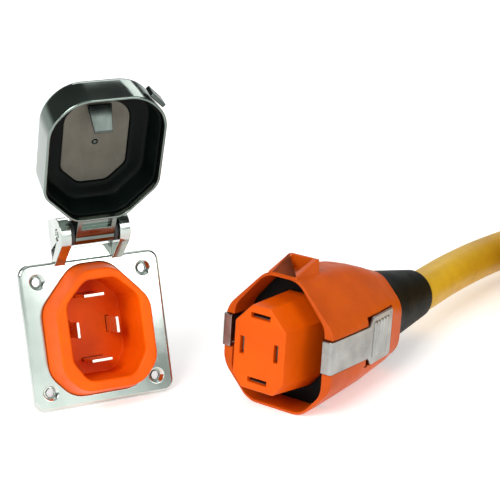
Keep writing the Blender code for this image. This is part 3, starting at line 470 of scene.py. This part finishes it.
def coil_points():
    """Inwards in the bottom layer, outwards in the next and inwards on top.

    Each move is made before it meets a turn.
    """
    inner, middle, outer = TURN_RADII
    low, layer = COIL_FLOOR + CABLE_R, 2 * CABLE_R + GAP
    radius_stages = [
        (0, 0, outer), (0.86, 1.00, middle), (1.86, 2.00, inner), (3.58, 3.72, middle), (4.58, 4.72, outer),
        (6.30, 6.44, middle), (6.84, COIL_TURNS, TAIL_RADIUS),
    ]
    height_stages = [(0, 0, low), (2.72, 2.86, low + layer), (5.44, 5.58, low + 2 * layer),
                     (6.80, COIL_TURNS, TAIL_ROUTE[0][2])]
    count = round(COIL_TURNS * STEPS_A_TURN)
    points = []
    for k in range(count + 1):
        turns = COIL_TURNS * k / count
        angle = math.radians(COIL_ENTRY - 360 * turns)
        radius = stepped(turns, radius_stages)
        points.append(Vector((
            COIL_CENTRE[0] + radius * math.cos(angle), COIL_CENTRE[1] + radius * math.sin(angle),
            stepped(turns, height_stages))))
    return points


coil = coil_points()
cord_points = smooth(CABLE_ROUTE + [coil[0]], 3)[:-1] + coil[:-1] + smooth(TAIL_ROUTE, 2)

cord_data = bpy.data.curves.new("shore_cord", "CURVE")
cord_data.dimensions = "3D"
cord_data.resolution_u = 4
cord_data.bevel_depth = CABLE_R
cord_data.bevel_resolution = 8
cord_data.use_fill_caps = True
line = cord_data.splines.new("BEZIER")
line.bezier_points.add(len(cord_points) - 1)
for point, at in zip(line.bezier_points, cord_points):
    point.co = at
    point.handle_left_type = point.handle_right_type = "AUTO"
cord = bpy.data.objects.new("shore_cord", cord_data)
scene.collection.objects.link(cord)
ride(cord, YELLOW, "cord_set", ["shore_cable", "cable_coil", "shore_cable_tail"])

# ---------------------------------------------------------------- inlet flange with its hinge lugs
HOLE_AT, HOLE_R, SINK_R = 33.6 * MM, 2.6 * MM, 4.65 * MM
LUG_OUT, LUG_T, LUG_R = 21.5 * MM, 6.5 * MM, 10.0 * MM
BAR_TOP = FLANGE_HALF + 3.0 * MM
FLANGE_ROUND = 1.9 * MM


def collar(grow=0.0):
    return keyed(33.0 * MM, 39.6 * MM, 39.6 * MM, (21.5 * MM, 24 * MM), (13 * MM, 15 * MM), grow, KEY_Z,
                 (16 * MM, 16 * MM))


def recess(grow=0.0):
    return keyed(22.3 * MM, 30.0 * MM, 30.0 * MM, (13 * MM, 13 * MM), (8 * MM, 13 * MM), grow, KEY_Z,
                 (9 * MM, 9 * MM))


def lug_profile():
    points = [(FLANGE_T, BAR_TOP - 6 * MM), (FLANGE_T, PIN_Z + LUG_R - 2.5 * MM),
              (FLANGE_T - 0.8 * MM, PIN_Z + LUG_R - 0.8 * MM), (FLANGE_T - 2.5 * MM, PIN_Z + LUG_R)]
    for degrees in range(90, 241, 6):
        angle = math.radians(degrees)
        points.append((PIN_Y + LUG_R * math.cos(angle), PIN_Z + LUG_R * math.sin(angle)))
    return points + [(1.2 * MM, BAR_TOP - 6 * MM)]


pin_at = (0, PIN_Y, PIN_Z)
mount_holes = [(x, z) for x in (-HOLE_AT, HOLE_AT) for z in (-HOLE_AT, HOLE_AT)]
flange_edge = [(y, square(FLANGE_HALF + grow, 7 * MM + grow)) for y, grow in quarter(0, 0, FLANGE_ROUND)]
piece(
    "flange_plate",
    loft(flange_edge + [(FLANGE_T - 0.4 * MM, square(FLANGE_HALF, 7 * MM)),
                        (FLANGE_T, square(FLANGE_HALF - 0.4 * MM, 6.6 * MM))]),
    INLET, "inlet", STEEL, ["inlet_flange"],
    add=[
        box((-LUG_OUT, 0.5 * MM, FLANGE_HALF - 5 * MM), (LUG_OUT, FLANGE_T, BAR_TOP + 4 * MM)),
        prism(lug_profile(), -LUG_OUT, LUG_T - LUG_OUT),
        prism(lug_profile(), LUG_OUT - LUG_T, LUG_OUT),
    ],
    cut=[
        loft([(-PAST, collar(GAP)), (FLANGE_T + PAST, collar(GAP))]),
        cylinder(PIN_R + GAP, pin_at, (1, 0, 0), -LUG_OUT - PAST, LUG_OUT + PAST),
        *[
            turned([(0, -PAST), (SINK_R + PAST, -PAST), (HOLE_R, SINK_R - HOLE_R),
                    (HOLE_R, FLANGE_T + PAST), (0, FLANGE_T + PAST)], (x, 0, z), (0, 1, 0), 40)
            for x, z in mount_holes
        ],
    ],
    bevel=0.45 * MM, angle=32,
)
refined("flange_gasket", "inlet", RUBBER, 0.3 * MM)

# ---------------------------------------------------------------- orange inlet body and its blades
COLLAR_OUT, RECESS_DEEP, FLOOR_T = 20.0 * MM, 20.0 * MM, 10.0 * MM
BODY_REAR, RIM_REAR = 6.6 * MM, 10.6 * MM
BLADES = [
    ((0, 19.95 * MM), (6.5 * MM, 1.0 * MM)), ((0, -19.95 * MM), (6.5 * MM, 1.0 * MM)),
    ((-12.5 * MM, 0), (1.0 * MM, 4.9 * MM)), ((12.5 * MM, 0), (1.0 * MM, 4.9 * MM)),
]


def blade_box(centre, half, low, high, grow=0.0, rise=0.0):
    return box(
        (centre[0] - half[0] - grow, low, centre[1] + rise - half[1] - grow),
        (centre[0] + half[0] + grow, high, centre[1] + rise + half[1] + grow),
    )


rim = keyed(39.5 * MM, 41.2 * MM, 41.2 * MM, (24 * MM, 26 * MM), (16 * MM, 18 * MM), 0, KEY_Z,
            (9 * MM, 9 * MM))
core = keyed(28 * MM, 31.5 * MM, 31.5 * MM, (17 * MM, 17 * MM), (10 * MM, 12 * MM), 0, KEY_Z,
             (6 * MM, 6 * MM))
body_screws = [(x, KEY_Z + z) for x in (-36.4 * MM, 36.4 * MM) for z in (-14 * MM, 14 * MM)]
collar_front = [(y, collar(grow)) for y, grow in quarter(-COLLAR_OUT, -3.3 * MM, 1.7 * MM)]
mouth = [(-COLLAR_OUT - PAST, recess(1.9 * MM)), (-COLLAR_OUT, recess(1.6 * MM)),
         (-COLLAR_OUT + 0.3 * MM, recess(0.9 * MM)), (-COLLAR_OUT + 0.9 * MM, recess(0.3 * MM)),
         (-COLLAR_OUT + 1.8 * MM, recess(0.05 * MM)), (RECESS_DEEP - 1.2 * MM, recess(-0.9 * MM)),
         (RECESS_DEEP - 0.35 * MM, recess(-1.2 * MM)), (RECESS_DEEP, recess(-2.0 * MM))]
pits = [cylinder(0.65 * MM, (-33.2 * MM, -9 * MM, z), (1, 0, 0), -PAST, 0.75 * MM, 12)
        for z in (10 * MM, -14 * MM)]
piece(
    "inlet_collar",
    loft(collar_front + [
        (-15.5 * MM, collar(-2.9 * MM)), (-4 * MM, collar(-0.9 * MM)), (-3.2 * MM, collar(-0.35 * MM)),
        (-1 * MM, collar(-0.2 * MM)), (0, collar()), (BODY_REAR, collar()), (BODY_REAR, rim),
        (RIM_REAR, rim), (RIM_REAR, core), (RECESS_DEEP + FLOOR_T, core)]),
    INLET, "inlet", ORANGE, ["inlet_body"],
    cut=[
        loft(mouth),
        *[blade_box(c, h, 0, RECESS_DEEP + FLOOR_T + PAST, GAP, KEY_Z) for c, h in BLADES],
        *[cylinder(1.6 * MM, (x, 0, z), (0, 1, 0), 0, RIM_REAR + PAST, 16) for x, z in body_screws],
        *pits,
    ],
)
for side in ("top", "bottom", "left", "right"):
    refined(f"inlet_blade_{side}", "inlet", PLATED, 0.35 * MM)
    refined(f"terminal_screw_{side}", "inlet", PLATED, 0.25 * MM)
for number in range(1, 5):
    refined(f"body_screw_{number}", "inlet", STEEL, 0.25 * MM)
refined("rear_housing", "inlet", NYLON, 1.6 * MM, 4, 28)
refined("rear_gland", "inlet", NYLON, 0.7 * MM, 3, 40)
refined("hinge_pin", "inlet", STEEL, 0.5 * MM, 3, 40)
refined("hinge_washer_left", "inlet", NYLON, 0.2 * MM, 2, 40)
refined("hinge_washer_right", "inlet", NYLON, 0.2 * MM, 2, 40)

# ---------------------------------------------------------------- cover
COVER_HALF, COVER_RISE, COVER_DEEP, COVER_WALL = 35.2 * MM, 42.3 * MM, 28.0 * MM, 1.4 * MM
KNUCKLE_HALF, KNUCKLE_R = 12.0 * MM, 7.5 * MM
cap_z = KEY_Z - PIN_Z
rim_y = -PIN_Y - 2.3 * MM
near_wall = cap_z + COVER_RISE


def cap(grow=0.0):
    return keyed(COVER_HALF, COVER_RISE, COVER_RISE, (20 * MM, 21 * MM), (15 * MM, 15 * MM), grow, cap_z,
                 (13 * MM, 22 * MM))


def plate_outline(grow=0.0):
    return keyed(19.8 * MM, 27.5 * MM, 27.5 * MM, (11 * MM, 11 * MM), (8 * MM, 8 * MM), grow, cap_z,
                 (7 * MM, 12 * MM))


dome = [
    (0, -0.45), (0.25, -0.12), (0.7, 0), (0.35 * 28, -0.45), (0.70 * 28, -0.95), (0.78 * 28, -1.5),
    (0.85 * 28, -2.6), (0.905 * 28, -4.2), (0.95 * 28, -6.3), (0.98 * 28, -8.8), (28, -12),
]
arm = [(-6.5 * MM, -2 * MM), (-9 * MM, near_wall - 1.3 * MM), (6 * MM, near_wall - 1.1 * MM),
       (rim_y - 2.2 * MM, near_wall - 0.6 * MM), (KNUCKLE_R - 0.1 * MM, -2 * MM)]
inner_deep = rim_y - 0.74 * COVER_DEEP
inner_back = rim_y - COVER_DEEP + 2 * COVER_WALL
piece(
    "cover_cap", loft([(rim_y - y * MM, cap(grow * MM)) for y, grow in dome]),
    COVER, "cover", SHADED_COVER_STEEL, ["cover_shell"],
    add=[
        cylinder(KNUCKLE_R, (0, 0, 0), (1, 0, 0), -KNUCKLE_HALF, KNUCKLE_HALF, 56),
        prism(arm, -KNUCKLE_HALF, KNUCKLE_HALF),
    ],
    cut=[
        loft([(rim_y + PAST, cap(-COVER_WALL)), (inner_deep, cap(-COVER_WALL - 1.2 * MM)),
              (inner_back, cap(-COVER_WALL - 5.6 * MM))]),
        cylinder(PIN_R + GAP, (0, 0, 0), (1, 0, 0), -KNUCKLE_HALF - PAST, KNUCKLE_HALF + PAST),
        box((-9 * MM, KNUCKLE_R - 2 * MM, near_wall + 1.4 * MM),
            (9 * MM, rim_y + PAST, -KNUCKLE_R - 0.6 * MM)),
    ],
    bevel=0.35 * MM, angle=34,
)
liner_grow = -COVER_WALL - GAP
liner_steps = [
    (-4.0, cap(liner_grow - 0.3 * MM)), (-20.72, cap(liner_grow - 1.2 * MM)),
    (-22.9, cap(liner_grow - 3.7 * MM)), (-22.9, plate_outline(GAP)), (-18.9, plate_outline(GAP)),
    (-18.3, plate_outline(0.9 * MM)), (-18.1, plate_outline(2.2 * MM)), (-18.1, plate_outline(4.0 * MM)),
    (-18.0, cap(liner_grow - 5.6 * MM)), (-17.3, cap(liner_grow - 4.0 * MM)),
    (-16.2, cap(liner_grow - 3.2 * MM)), (-13.0, cap(liner_grow - 2.6 * MM)),
    (-9.0, cap(liner_grow - 2.1 * MM)), (-4.6, cap(liner_grow - 1.7 * MM)),
    (-4.0, cap(liner_grow - 1.3 * MM)),
]
piece("cover_lining", loft([(rim_y + y * MM, outline) for y, outline in liner_steps], ring=True),
      COVER, "cover", LINER, ["cover_liner"])
refined("cover_inner_plate", "cover", PLATE, 0.3 * MM)
refined("cover_plate_rivet", "cover", SHADED_CATCH_STEEL, 0.4 * MM)
refined("cover_catch", "cover", SHADED_CATCH_STEEL, 0.45 * MM, 3)
refined("cover_thumb_tab", "cover", SHADED_CATCH_STEEL, 0.6 * MM, 3)

# ---------------------------------------------------------------- connector shell
STATIONS = [
    (18.3, 0.6, 0.6, 0.6, 28, 20), (18.7, 0.15, 0.15, 0.15, 28, 20), (19.4, 0, 0, 0, 28, 20),
    (45, 1.4, 0.2, 2.7, 27, 19), (75, 4.4, 2.6, 5.9, 24, 17), (96, 7.4, 7.6, 9.5, 20, 15),
    (109.2, 9.6, 11.9, 13.3, 17, 13), (110, 10.4, 12.7, 14.1, 17, 13),
]
HUMP_HALF, HUMP_TOP, HUMP_BACK = 10.5 * MM, 50.3 * MM, 41.5 * MM
NOSE_LONG = 40.1 * MM
step_y = NOSE_LONG + GAP
BOOT_FROM, BOOT_END, BOOT_R, BOOT_TIP_R = 100.0 * MM, 172.0 * MM, 26.5 * MM, 17.3 * MM
SHELL_END = 110.0 * MM
rear_axis = (0, 0, 1.5 * MM)
PIVOT_X, PIVOT_Y = 34.6 * MM, 48.0 * MM
LATCH_HALF, GRIP_HALF, LATCH_T = 10.1 * MM, 15.2 * MM, 1.6 * MM


def station_outline(side, top, bottom, top_cut, bottom_cut):
    return keyed(SHROUD_HALF - side * MM, SHROUD_TOP - top * MM, SHROUD_BOTTOM - bottom * MM,
                 (top_cut * MM, top_cut * MM), (bottom_cut * MM, bottom_cut * MM), 0, 0, (16 * MM, 16 * MM))


def shroud_inside(grow=0.0):
    return keyed(SHROUD_HALF - 6.6 * MM, SHROUD_TOP - 2 * MM, SHROUD_BOTTOM - 2 * MM,
                 (21.5 * MM, 24 * MM), (13 * MM, 15 * MM), grow, 0, (14 * MM, 14 * MM))


def eased(stations, steps=5):
    """More stations between the long ones, on a smooth curve through them all."""
    fuller = list(stations[:3])
    for i in range(2, len(stations) - 2):
        before, a, b, after = (stations[max(i - 1, 2)], stations[i], stations[i + 1],
                               stations[min(i + 2, len(stations) - 2)])
        for k in range(1, steps + 1):
            t = k / steps
            row = []
            for w, x, y, z in zip(before, a, b, after):
                row.append(0.5 * (2 * x + (y - w) * t + (2 * w - 5 * x + 4 * y - z) * t * t
                                  + (3 * x - w - 3 * y + z) * t ** 3))
            row[0] = a[0] + (b[0] - a[0]) * t
            fuller.append(row)
    return fuller + [stations[-1]]


hump_floor = SHROUD_TOP + 0.2 * MM
side_cuts = []
for sign in (-1, 1):
    slot_x = sorted((sign * 30.0 * MM, sign * 45 * MM))
    grip_x = sorted((sign * 24.0 * MM, sign * 45 * MM))
    side_cuts += [
        box((slot_x[0], SHROUD_AT - PAST, -LATCH_HALF - GAP), (slot_x[1], 62.5 * MM, LATCH_HALF + GAP)),
        box((grip_x[0], 60.5 * MM, -GRIP_HALF - GAP), (grip_x[1], 94.5 * MM, GRIP_HALF + GAP)),
    ]
nick = turned([(0, -0.5 * MM), (0.9 * MM, -0.5 * MM), (0.5 * MM, 0.9 * MM), (0, 0.9 * MM)],
              (33.5 * MM, 50 * MM, 24.5 * MM), (-0.7, 0, -0.7), 12)
piece(
    "connector_body", loft([(y * MM, station_outline(*rest)) for y, *rest in eased(STATIONS)]),
    CONNECTOR, "cord_set", SHADED_SHELL_ORANGE, ["connector_shell"],
    add=[prism([
        (SHROUD_AT + 0.6 * MM, SHROUD_TOP - 2.5 * MM), (SHROUD_AT + 0.6 * MM, hump_floor),
        (HUMP_BACK - 3 * MM, HUMP_TOP), (HUMP_BACK, HUMP_TOP), (HUMP_BACK + 1 * MM, SHROUD_TOP - 2.5 * MM),
    ], -HUMP_HALF, HUMP_HALF)],
    cut=[
        box((-HUMP_HALF + 3.4 * MM, SHROUD_AT - PAST, hump_floor),
            (HUMP_HALF - 3.4 * MM, HUMP_BACK - 2.2 * MM, HUMP_TOP + PAST)),
        loft([(SHROUD_AT - PAST, shroud_inside()), (step_y, shroud_inside())]),
        loft([(step_y - PAST, keyed(27.8 * MM, 32.5 * MM, 32.5 * MM, (15 * MM, 15 * MM), (15 * MM, 15 * MM))),
              (58 * MM, keyed(27.8 * MM, 32.5 * MM, 32.5 * MM, (15 * MM, 15 * MM), (15 * MM, 15 * MM)))]),
        cylinder(21.5 * MM, rear_axis, (0, 1, 0), 57 * MM, BOOT_FROM, 48),
        cylinder(BOOT_R + GAP, rear_axis, (0, 1, 0), BOOT_FROM - GAP, SHELL_END + PAST, 64),
        *side_cuts,
        nick,
    ],
    bevel=0.55 * MM, angle=36,
)
NOSE_TAPER = 2.0 * MM


def nose(grow=0.0):
    return keyed(18.6 * MM, 26.2 * MM, 26.2 * MM, (12 * MM, 12 * MM), (7 * MM, 8 * MM), grow, 0,
                 (1.8 * MM, 1.8 * MM))


carrier_flange = keyed(27.5 * MM, 32.2 * MM, 32.2 * MM, (15 * MM, 15 * MM), (15 * MM, 15 * MM))
nose_front = [(y, nose(grow)) for y, grow in quarter(0, 0, 1.1 * MM)]
piece(
    "connector_nose",
    loft(nose_front + [
        (step_y, nose(NOSE_TAPER)), (step_y, carrier_flange), (step_y + 5.6 * MM, carrier_flange),
    ]),
    CONNECTOR, "cord_set", SHADED_NOSE_ORANGE, ["contact_carrier"],
    cut=[
        *[blade_box(c, h, -PAST, 3.6 * MM, 0.6 * MM) for c, h in BLADES],
        *[blade_box(c, h, 3.3 * MM, step_y + 6.6 * MM, 2.5 * MM) for c, h in BLADES],
    ],
    bevel=0.25 * MM, angle=50,
)
refined("nose_seal", "cord_set", RUBBER, 0.4 * MM)
for side in ("top", "bottom", "left", "right"):
    refined(f"contact_{side}", "cord_set", SPRING, 0.2 * MM)

# ---------------------------------------------------------------- latches
STRIP_X = (40.7 * MM, 38.1 * MM, 33.3 * MM)
HOOK_Y, HOOK_IN, HOOK_ROUND = 16.2 * MM, 6.9 * MM, 2.3 * MM
GRIP_Y, GRIP_FULL, LATCH_END = 61 * MM, 65.5 * MM, 93.5 * MM


def face_x(y):
    """How far out the latch's outer face stands at a distance behind the nose face."""
    if y < GRIP_Y:
        return STRIP_X[0] + (STRIP_X[1] - STRIP_X[0]) * (y - HOOK_Y) / (GRIP_Y - HOOK_Y)
    return STRIP_X[1] + (STRIP_X[2] - STRIP_X[1]) * (y - GRIP_Y) / (LATCH_END - GRIP_Y)


def latch_profile(sign):
    tip = STRIP_X[0] - HOOK_IN
    bend = (STRIP_X[0] - HOOK_ROUND, HOOK_Y + HOOK_ROUND)
    turns = [math.pi / 2 * k / 7 for k in range(8)]
    outer = [(tip, HOOK_Y)]
    outer += [(bend[0] + HOOK_ROUND * math.sin(a), bend[1] - HOOK_ROUND * math.cos(a)) for a in turns]
    outer += [(face_x(GRIP_Y), GRIP_Y), (face_x(LATCH_END), LATCH_END)]
    inside = HOOK_ROUND - LATCH_T
    inner = [(tip, HOOK_Y + LATCH_T)]
    inner += [(bend[0] + inside * math.sin(a), bend[1] - inside * math.cos(a)) for a in turns]
    inner += [(face_x(GRIP_Y) - LATCH_T, GRIP_Y), (face_x(LATCH_END) - LATCH_T, LATCH_END)]
    return [(sign * x, y) for x, y in outer + inner[::-1]]


side_view = rounded([
    (HOOK_Y - PAST, -LATCH_HALF), (GRIP_Y, -LATCH_HALF), (GRIP_FULL, -GRIP_HALF), (LATCH_END, -GRIP_HALF),
    (LATCH_END, GRIP_HALF), (GRIP_FULL, GRIP_HALF), (GRIP_Y, LATCH_HALF), (HOOK_Y - PAST, LATCH_HALF),
], [2.2 * MM] * 8, 5)
RIB_R, RIB_LONG = 1.6 * MM, 12.2 * MM
RIB_AT = [(68.6 + 4.3 * k) * MM for k in range(5)]
rib = [(0, -RIB_LONG), (0.6 * RIB_R, 0.5 * MM - RIB_LONG), (RIB_R, 1.5 * MM - RIB_LONG),
       (RIB_R, RIB_LONG - 1.5 * MM), (0.6 * RIB_R, RIB_LONG - 0.5 * MM), (0, RIB_LONG)]
for side, sign in (("left", -1), ("right", 1)):
    across = sorted((sign * 20 * MM, sign * 50 * MM))
    piece(
        f"latch_{side}_lever", prism(latch_profile(sign), -GRIP_HALF - PAST, GRIP_HALF + PAST, "Z"),
        CONNECTOR, f"latch_{side}", LATCH_STEEL, [f"latch_{side}"],
        keep=[prism(side_view, *across)],
        add=[turned(rib, (sign * (face_x(y) - 0.45 * MM), y, 0), (0, 0, 1), 16) for y in RIB_AT]
            + [cylinder(3.2 * MM, (sign * PIVOT_X, PIVOT_Y, 0), (0, 0, 1), -8 * MM, 8 * MM, 24)],
        cut=[cylinder(1.8 * MM, (sign * PIVOT_X, PIVOT_Y, 0), (0, 0, 1), -9 * MM, 9 * MM, 16)],
        bevel=0.28 * MM, angle=50,
    )
    refined(f"latch_pin_{side}", "cord_set", STEEL, 0.3 * MM)
    refined(f"latch_spring_{side}", "cord_set", SPRING, 0.15 * MM)

# ---------------------------------------------------------------- boot, cable clamp and cable end
boot = [(CABLE_R + GAP, BOOT_FROM), (BOOT_R - 0.6 * MM, BOOT_FROM), (BOOT_R, BOOT_FROM + 0.6 * MM),
        (BOOT_R, SHELL_END + 1.0 * MM), (BOOT_R - 0.3 * MM, SHELL_END + 4.0 * MM),
        (BOOT_R - 1.2 * MM, SHELL_END + 8.5 * MM)]
boot += [(BOOT_R - 1.2 * MM + (BOOT_TIP_R - BOOT_R + 1.2 * MM) * k / 6,
          SHELL_END + 8.5 * MM + (BOOT_END - 3 * MM - SHELL_END - 8.5 * MM) * k / 6) for k in range(1, 7)]
boot += [(BOOT_TIP_R - 0.25 * MM, BOOT_END - 1.4 * MM), (BOOT_TIP_R - 0.9 * MM, BOOT_END - 0.4 * MM),
         (BOOT_TIP_R - 1.8 * MM, BOOT_END), (CABLE_R + GAP, BOOT_END)]
piece("connector_boot", turned(boot, rear_axis, (0, 1, 0), 96, True), CONNECTOR, "cord_set", RUBBER,
      ["strain_relief_boot"])
for name, look in (("cable_clamp_upper", NYLON), ("cable_clamp_lower", NYLON), ("clamp_screw_left", STEEL),
                   ("clamp_screw_right", STEEL), ("cable_end", YELLOW)):
    refined(name, "cord_set", look, 0.3 * MM)

# ---------------------------------------------------------------- coil ties
TIE_HALF, TIE_T = 10 * MM, 1.6 * MM
coil_in, coil_out = TURN_RADII[0] - CABLE_R, TURN_RADII[-1] + CABLE_R
coil_top = COIL_FLOOR + COIL_LAYERS * 2 * CABLE_R + (COIL_LAYERS - 1) * GAP


def tie_outline(grow):
    """The strap's section: round at the coil's corners, drawn in over the valleys between turns."""
    under = COIL_FLOOR - min(grow, 1.6 * MM)
    corners = [(coil_in - grow, under), (coil_out + grow, under),
               (coil_out + grow, coil_top + grow), (coil_in - grow, coil_top + grow)]
    return rounded(corners, [11 * MM + grow] * 4, 8)


for number, degrees in enumerate((228.0, 285.0, 342.0), 1):
    place = Matrix.Translation((*COIL_CENTRE, 0)) @ Matrix.Rotation(math.radians(degrees), 4, "Z")
    strap = [(-TIE_HALF, tie_outline(0.5 * MM)), (-TIE_HALF, tie_outline(TIE_T - 0.4 * MM)),
             (-TIE_HALF + 0.5 * MM, tie_outline(TIE_T)), (TIE_HALF - 0.5 * MM, tie_outline(TIE_T)),
             (TIE_HALF, tie_outline(TIE_T - 0.4 * MM)), (TIE_HALF, tie_outline(0.5 * MM))]
    flap = box((coil_out - 34 * MM, -TIE_HALF + 0.6 * MM, coil_top + TIE_T - 0.5 * MM),
               (coil_out - 4 * MM, TIE_HALF - 0.6 * MM, coil_top + TIE_T + 1.1 * MM))
    piece(f"coil_strap_{number}", loft(strap, ring=True), place, "cord_set", WEBBING,
                      [f"coil_tie_{number}"], add=[flap], bevel=0.25 * MM, segments=2, angle=50)

# ---------------------------------------------------------------- shore plug
PLUG_R, PLUG_LONG = 29.0 * MM, 58.0 * MM
plug_start = Vector(TAIL_ROUTE[-1])
drop = coil_top + PLUG_R + GAP - plug_start.z
PLUG = Matrix.Translation(plug_start) @ Matrix.Rotation(PLUG_TURN, 4, "Z")
axis_at = (0, 0, drop)
boot_long = GAP + 34 * MM
body_from = boot_long + GAP
body_end = body_from + PLUG_LONG
plug_boot = [(0, GAP), (15.2 * MM, GAP), (16 * MM, GAP + 0.8 * MM)]
for ring in range(4):
    at = GAP + (4 + 7 * ring) * MM
    width = (17 + 1.25 * ring) * MM
    plug_boot += [(width - 1.2 * MM, at), (width, at + 0.9 * MM), (width, at + 3.6 * MM),
                  (width - 1.2 * MM, at + 4.5 * MM)]
plug_boot += [(PLUG_R - 7 * MM, boot_long - 0.8 * MM), (PLUG_R - 7.6 * MM, boot_long), (0, boot_long)]
plug_pieces = [piece("shore_plug_boot", turned(plug_boot, axis_at, (0, 1, 0), 64), PLUG, "cord_set", RUBBER,
                     ["plug_boot"])]
plug_body = [
    (0, body_from), (PLUG_R - 7 * MM, body_from), (PLUG_R - 6 * MM, body_from + 0.8 * MM),
    (PLUG_R - 3.2 * MM, body_from + 5 * MM), (PLUG_R - 1.0 * MM, body_from + 9.5 * MM),
    (PLUG_R, body_from + 13 * MM), (PLUG_R, body_end - 13 * MM), (PLUG_R - 1.2 * MM, body_end - 12 * MM),
    (PLUG_R - 1.2 * MM, body_end - 9.5 * MM), (PLUG_R, body_end - 8.5 * MM), (PLUG_R, body_end - 1 * MM),
    (PLUG_R - 1 * MM, body_end), (0, body_end),
]
flutes, flute_r = [], PLUG_R + 1.7 * MM
for k in range(12):
    angle = 2 * math.pi * (k + 0.5) / 12
    flutes.append(turned([
        (0, body_from + 16 * MM), (2.2 * MM, body_from + 17 * MM), (3.0 * MM, body_from + 20 * MM),
        (3.0 * MM, body_end - 20 * MM), (2.2 * MM, body_end - 17 * MM), (0, body_end - 16 * MM),
    ], (flute_r * math.cos(angle), 0, drop + flute_r * math.sin(angle)), (0, 1, 0), 20))
plug_pieces.append(piece("shore_plug_body", turned(plug_body, axis_at, (0, 1, 0), 84), PLUG, "cord_set",
                         PLUG_YELLOW, ["plug_body"], cut=flutes, bevel=0.3 * MM, segments=2, angle=32))
plug_pieces.append(refined("plug_face", "cord_set", NYLON, 0.5 * MM, 3))
for name in ("plug_blade_line_1", "plug_blade_line_2", "plug_blade_neutral", "plug_earth_pin"):
    plug_pieces.append(refined(name, "cord_set", PLATED, 0.35 * MM))

# ---------------------------------------------------------------- floor, lights and surroundings
floor_mesh = bpy.data.meshes.new("floor")
floor_mesh.from_pydata([(-6, -6, 0), (6, -6, 0), (6, 6, 0), (-6, 6, 0)], [], [(0, 1, 2, 3)])
floor = bpy.data.objects.new("floor", floor_mesh)
scene.collection.objects.link(floor)
floor_look = Look("pale_floor")
floor_look.colour(floor_look.noise(3, 3), [(0.2, (0.90, 0.90, 0.90)), (0.8, (0.93, 0.93, 0.93))])
floor_look.roughness(floor_look.noise(5, 2), 0.85, 0.95)
floor_look.shader.inputs["Emission Color"].default_value = (1, 1, 1, 1)
floor_look.shader.inputs["Emission Strength"].default_value = 0.35
floor_mesh.materials.append(floor_look.material)


def softbox(name, at, aim, size, power, colour=(1, 1, 1)):
    data = bpy.data.lights.new(name, "AREA")
    data.shape = "RECTANGLE"
    data.size, data.size_y = size
    data.energy = power
    data.color = colour
    item = bpy.data.objects.new(name, data)
    item.location = at
    item.rotation_euler = (Vector(aim) - Vector(at)).to_track_quat("-Z", "Y").to_euler()
    scene.collection.objects.link(item)


softbox("key", (-0.75, -1.35, 1.25), (0, 0, 0.05), (0.9, 0.9), 26)
softbox("fill", (1.3, -1.2, 0.9), (0, 0, 0.05), (0.8, 0.8), 8)
softbox("back", (0.1, 1.5, 1.2), (0, 0, 0.05), (1.4, 0.6), 8)

world = bpy.data.worlds.new("studio")
world.use_nodes = True
scene.world = world
tree = world.node_tree
tree.nodes.clear()


def node(kind, **inputs):
    made = tree.nodes.new(kind)
    for socket, value in inputs.items():
        made.inputs[socket.replace("_", " ")].default_value = value
    return made


def math_node(operation, a, b=None):
    made = tree.nodes.new("ShaderNodeMath")
    made.operation = operation
    for socket, value in zip(made.inputs, (a, b)):
        if value is None:
            continue
        if isinstance(value, (int, float)):
            socket.default_value = value
        else:
            tree.links.new(value, socket)
    return made.outputs[0]


def ease(value, low, high, from_value=0.0, to_value=1.0):
    made = tree.nodes.new("ShaderNodeMapRange")
    made.interpolation_type = "SMOOTHSTEP"
    made.inputs["From Min"].default_value = low
    made.inputs["From Max"].default_value = high
    made.inputs["To Min"].default_value = from_value
    made.inputs["To Max"].default_value = to_value
    tree.links.new(value, made.inputs["Value"])
    return made.outputs["Result"]


split = tree.nodes.new("ShaderNodeSeparateXYZ")
tree.links.new(tree.nodes.new("ShaderNodeTexCoord").outputs["Generated"], split.inputs[0])
east, north, up = split.outputs
azimuth = math_node("ARCTAN2", east, math_node("MULTIPLY", north, -1.0))
BOX_EDGE = (0.712, 0.742)  # azimuths, in radians, where the light box ends and the shade starts
BOX_STRENGTH, SHADE_DEPTH = 0.8, 0.75
horizon = ease(up, 0.10, 0.30, 0.85, 0.10)
overhead = ease(up, 0.80, 0.95, 0.0, 0.75)
box_across = math_node("MULTIPLY", ease(azimuth, -0.5, -0.3), ease(azimuth, *BOX_EDGE, 1.0, 0.0))
front_box = math_node("MULTIPLY", box_across, ease(up, 0.5, 0.75, 1.0, 0.0))
shade = math_node("MULTIPLY", ease(azimuth, *BOX_EDGE), ease(azimuth, 1.3, 1.6, 1.0, 0.0))
unshaded = math_node("SUBTRACT", 1.0, math_node("MULTIPLY", shade, SHADE_DEPTH))
level = math_node("ADD", math_node("MULTIPLY", horizon, unshaded), overhead)
level = math_node("ADD", level, math_node("MULTIPLY", front_box, BOX_STRENGTH))
rays = tree.nodes.new("ShaderNodeLightPath")
surround = node("ShaderNodeBackground", Color=(0.93, 1.0, 0.97, 1.0))
tree.links.new(level, surround.inputs["Strength"])
soft = node("ShaderNodeBackground", Color=(1, 1, 1, 1), Strength=0.55)
white = node("ShaderNodeBackground", Color=(1, 1, 1, 1), Strength=1.0)
glossy_mix = tree.nodes.new("ShaderNodeMixShader")
tree.links.new(rays.outputs["Is Glossy Ray"], glossy_mix.inputs[0])
tree.links.new(soft.outputs[0], glossy_mix.inputs[1])
tree.links.new(surround.outputs[0], glossy_mix.inputs[2])
camera_mix = tree.nodes.new("ShaderNodeMixShader")
tree.links.new(rays.outputs["Is Camera Ray"], camera_mix.inputs[0])
tree.links.new(glossy_mix.outputs[0], camera_mix.inputs[1])
tree.links.new(white.outputs[0], camera_mix.inputs[2])
output = tree.nodes.new("ShaderNodeOutputWorld")
tree.links.new(camera_mix.outputs[0], output.inputs["Surface"])

scene.view_settings.view_transform = "Standard"
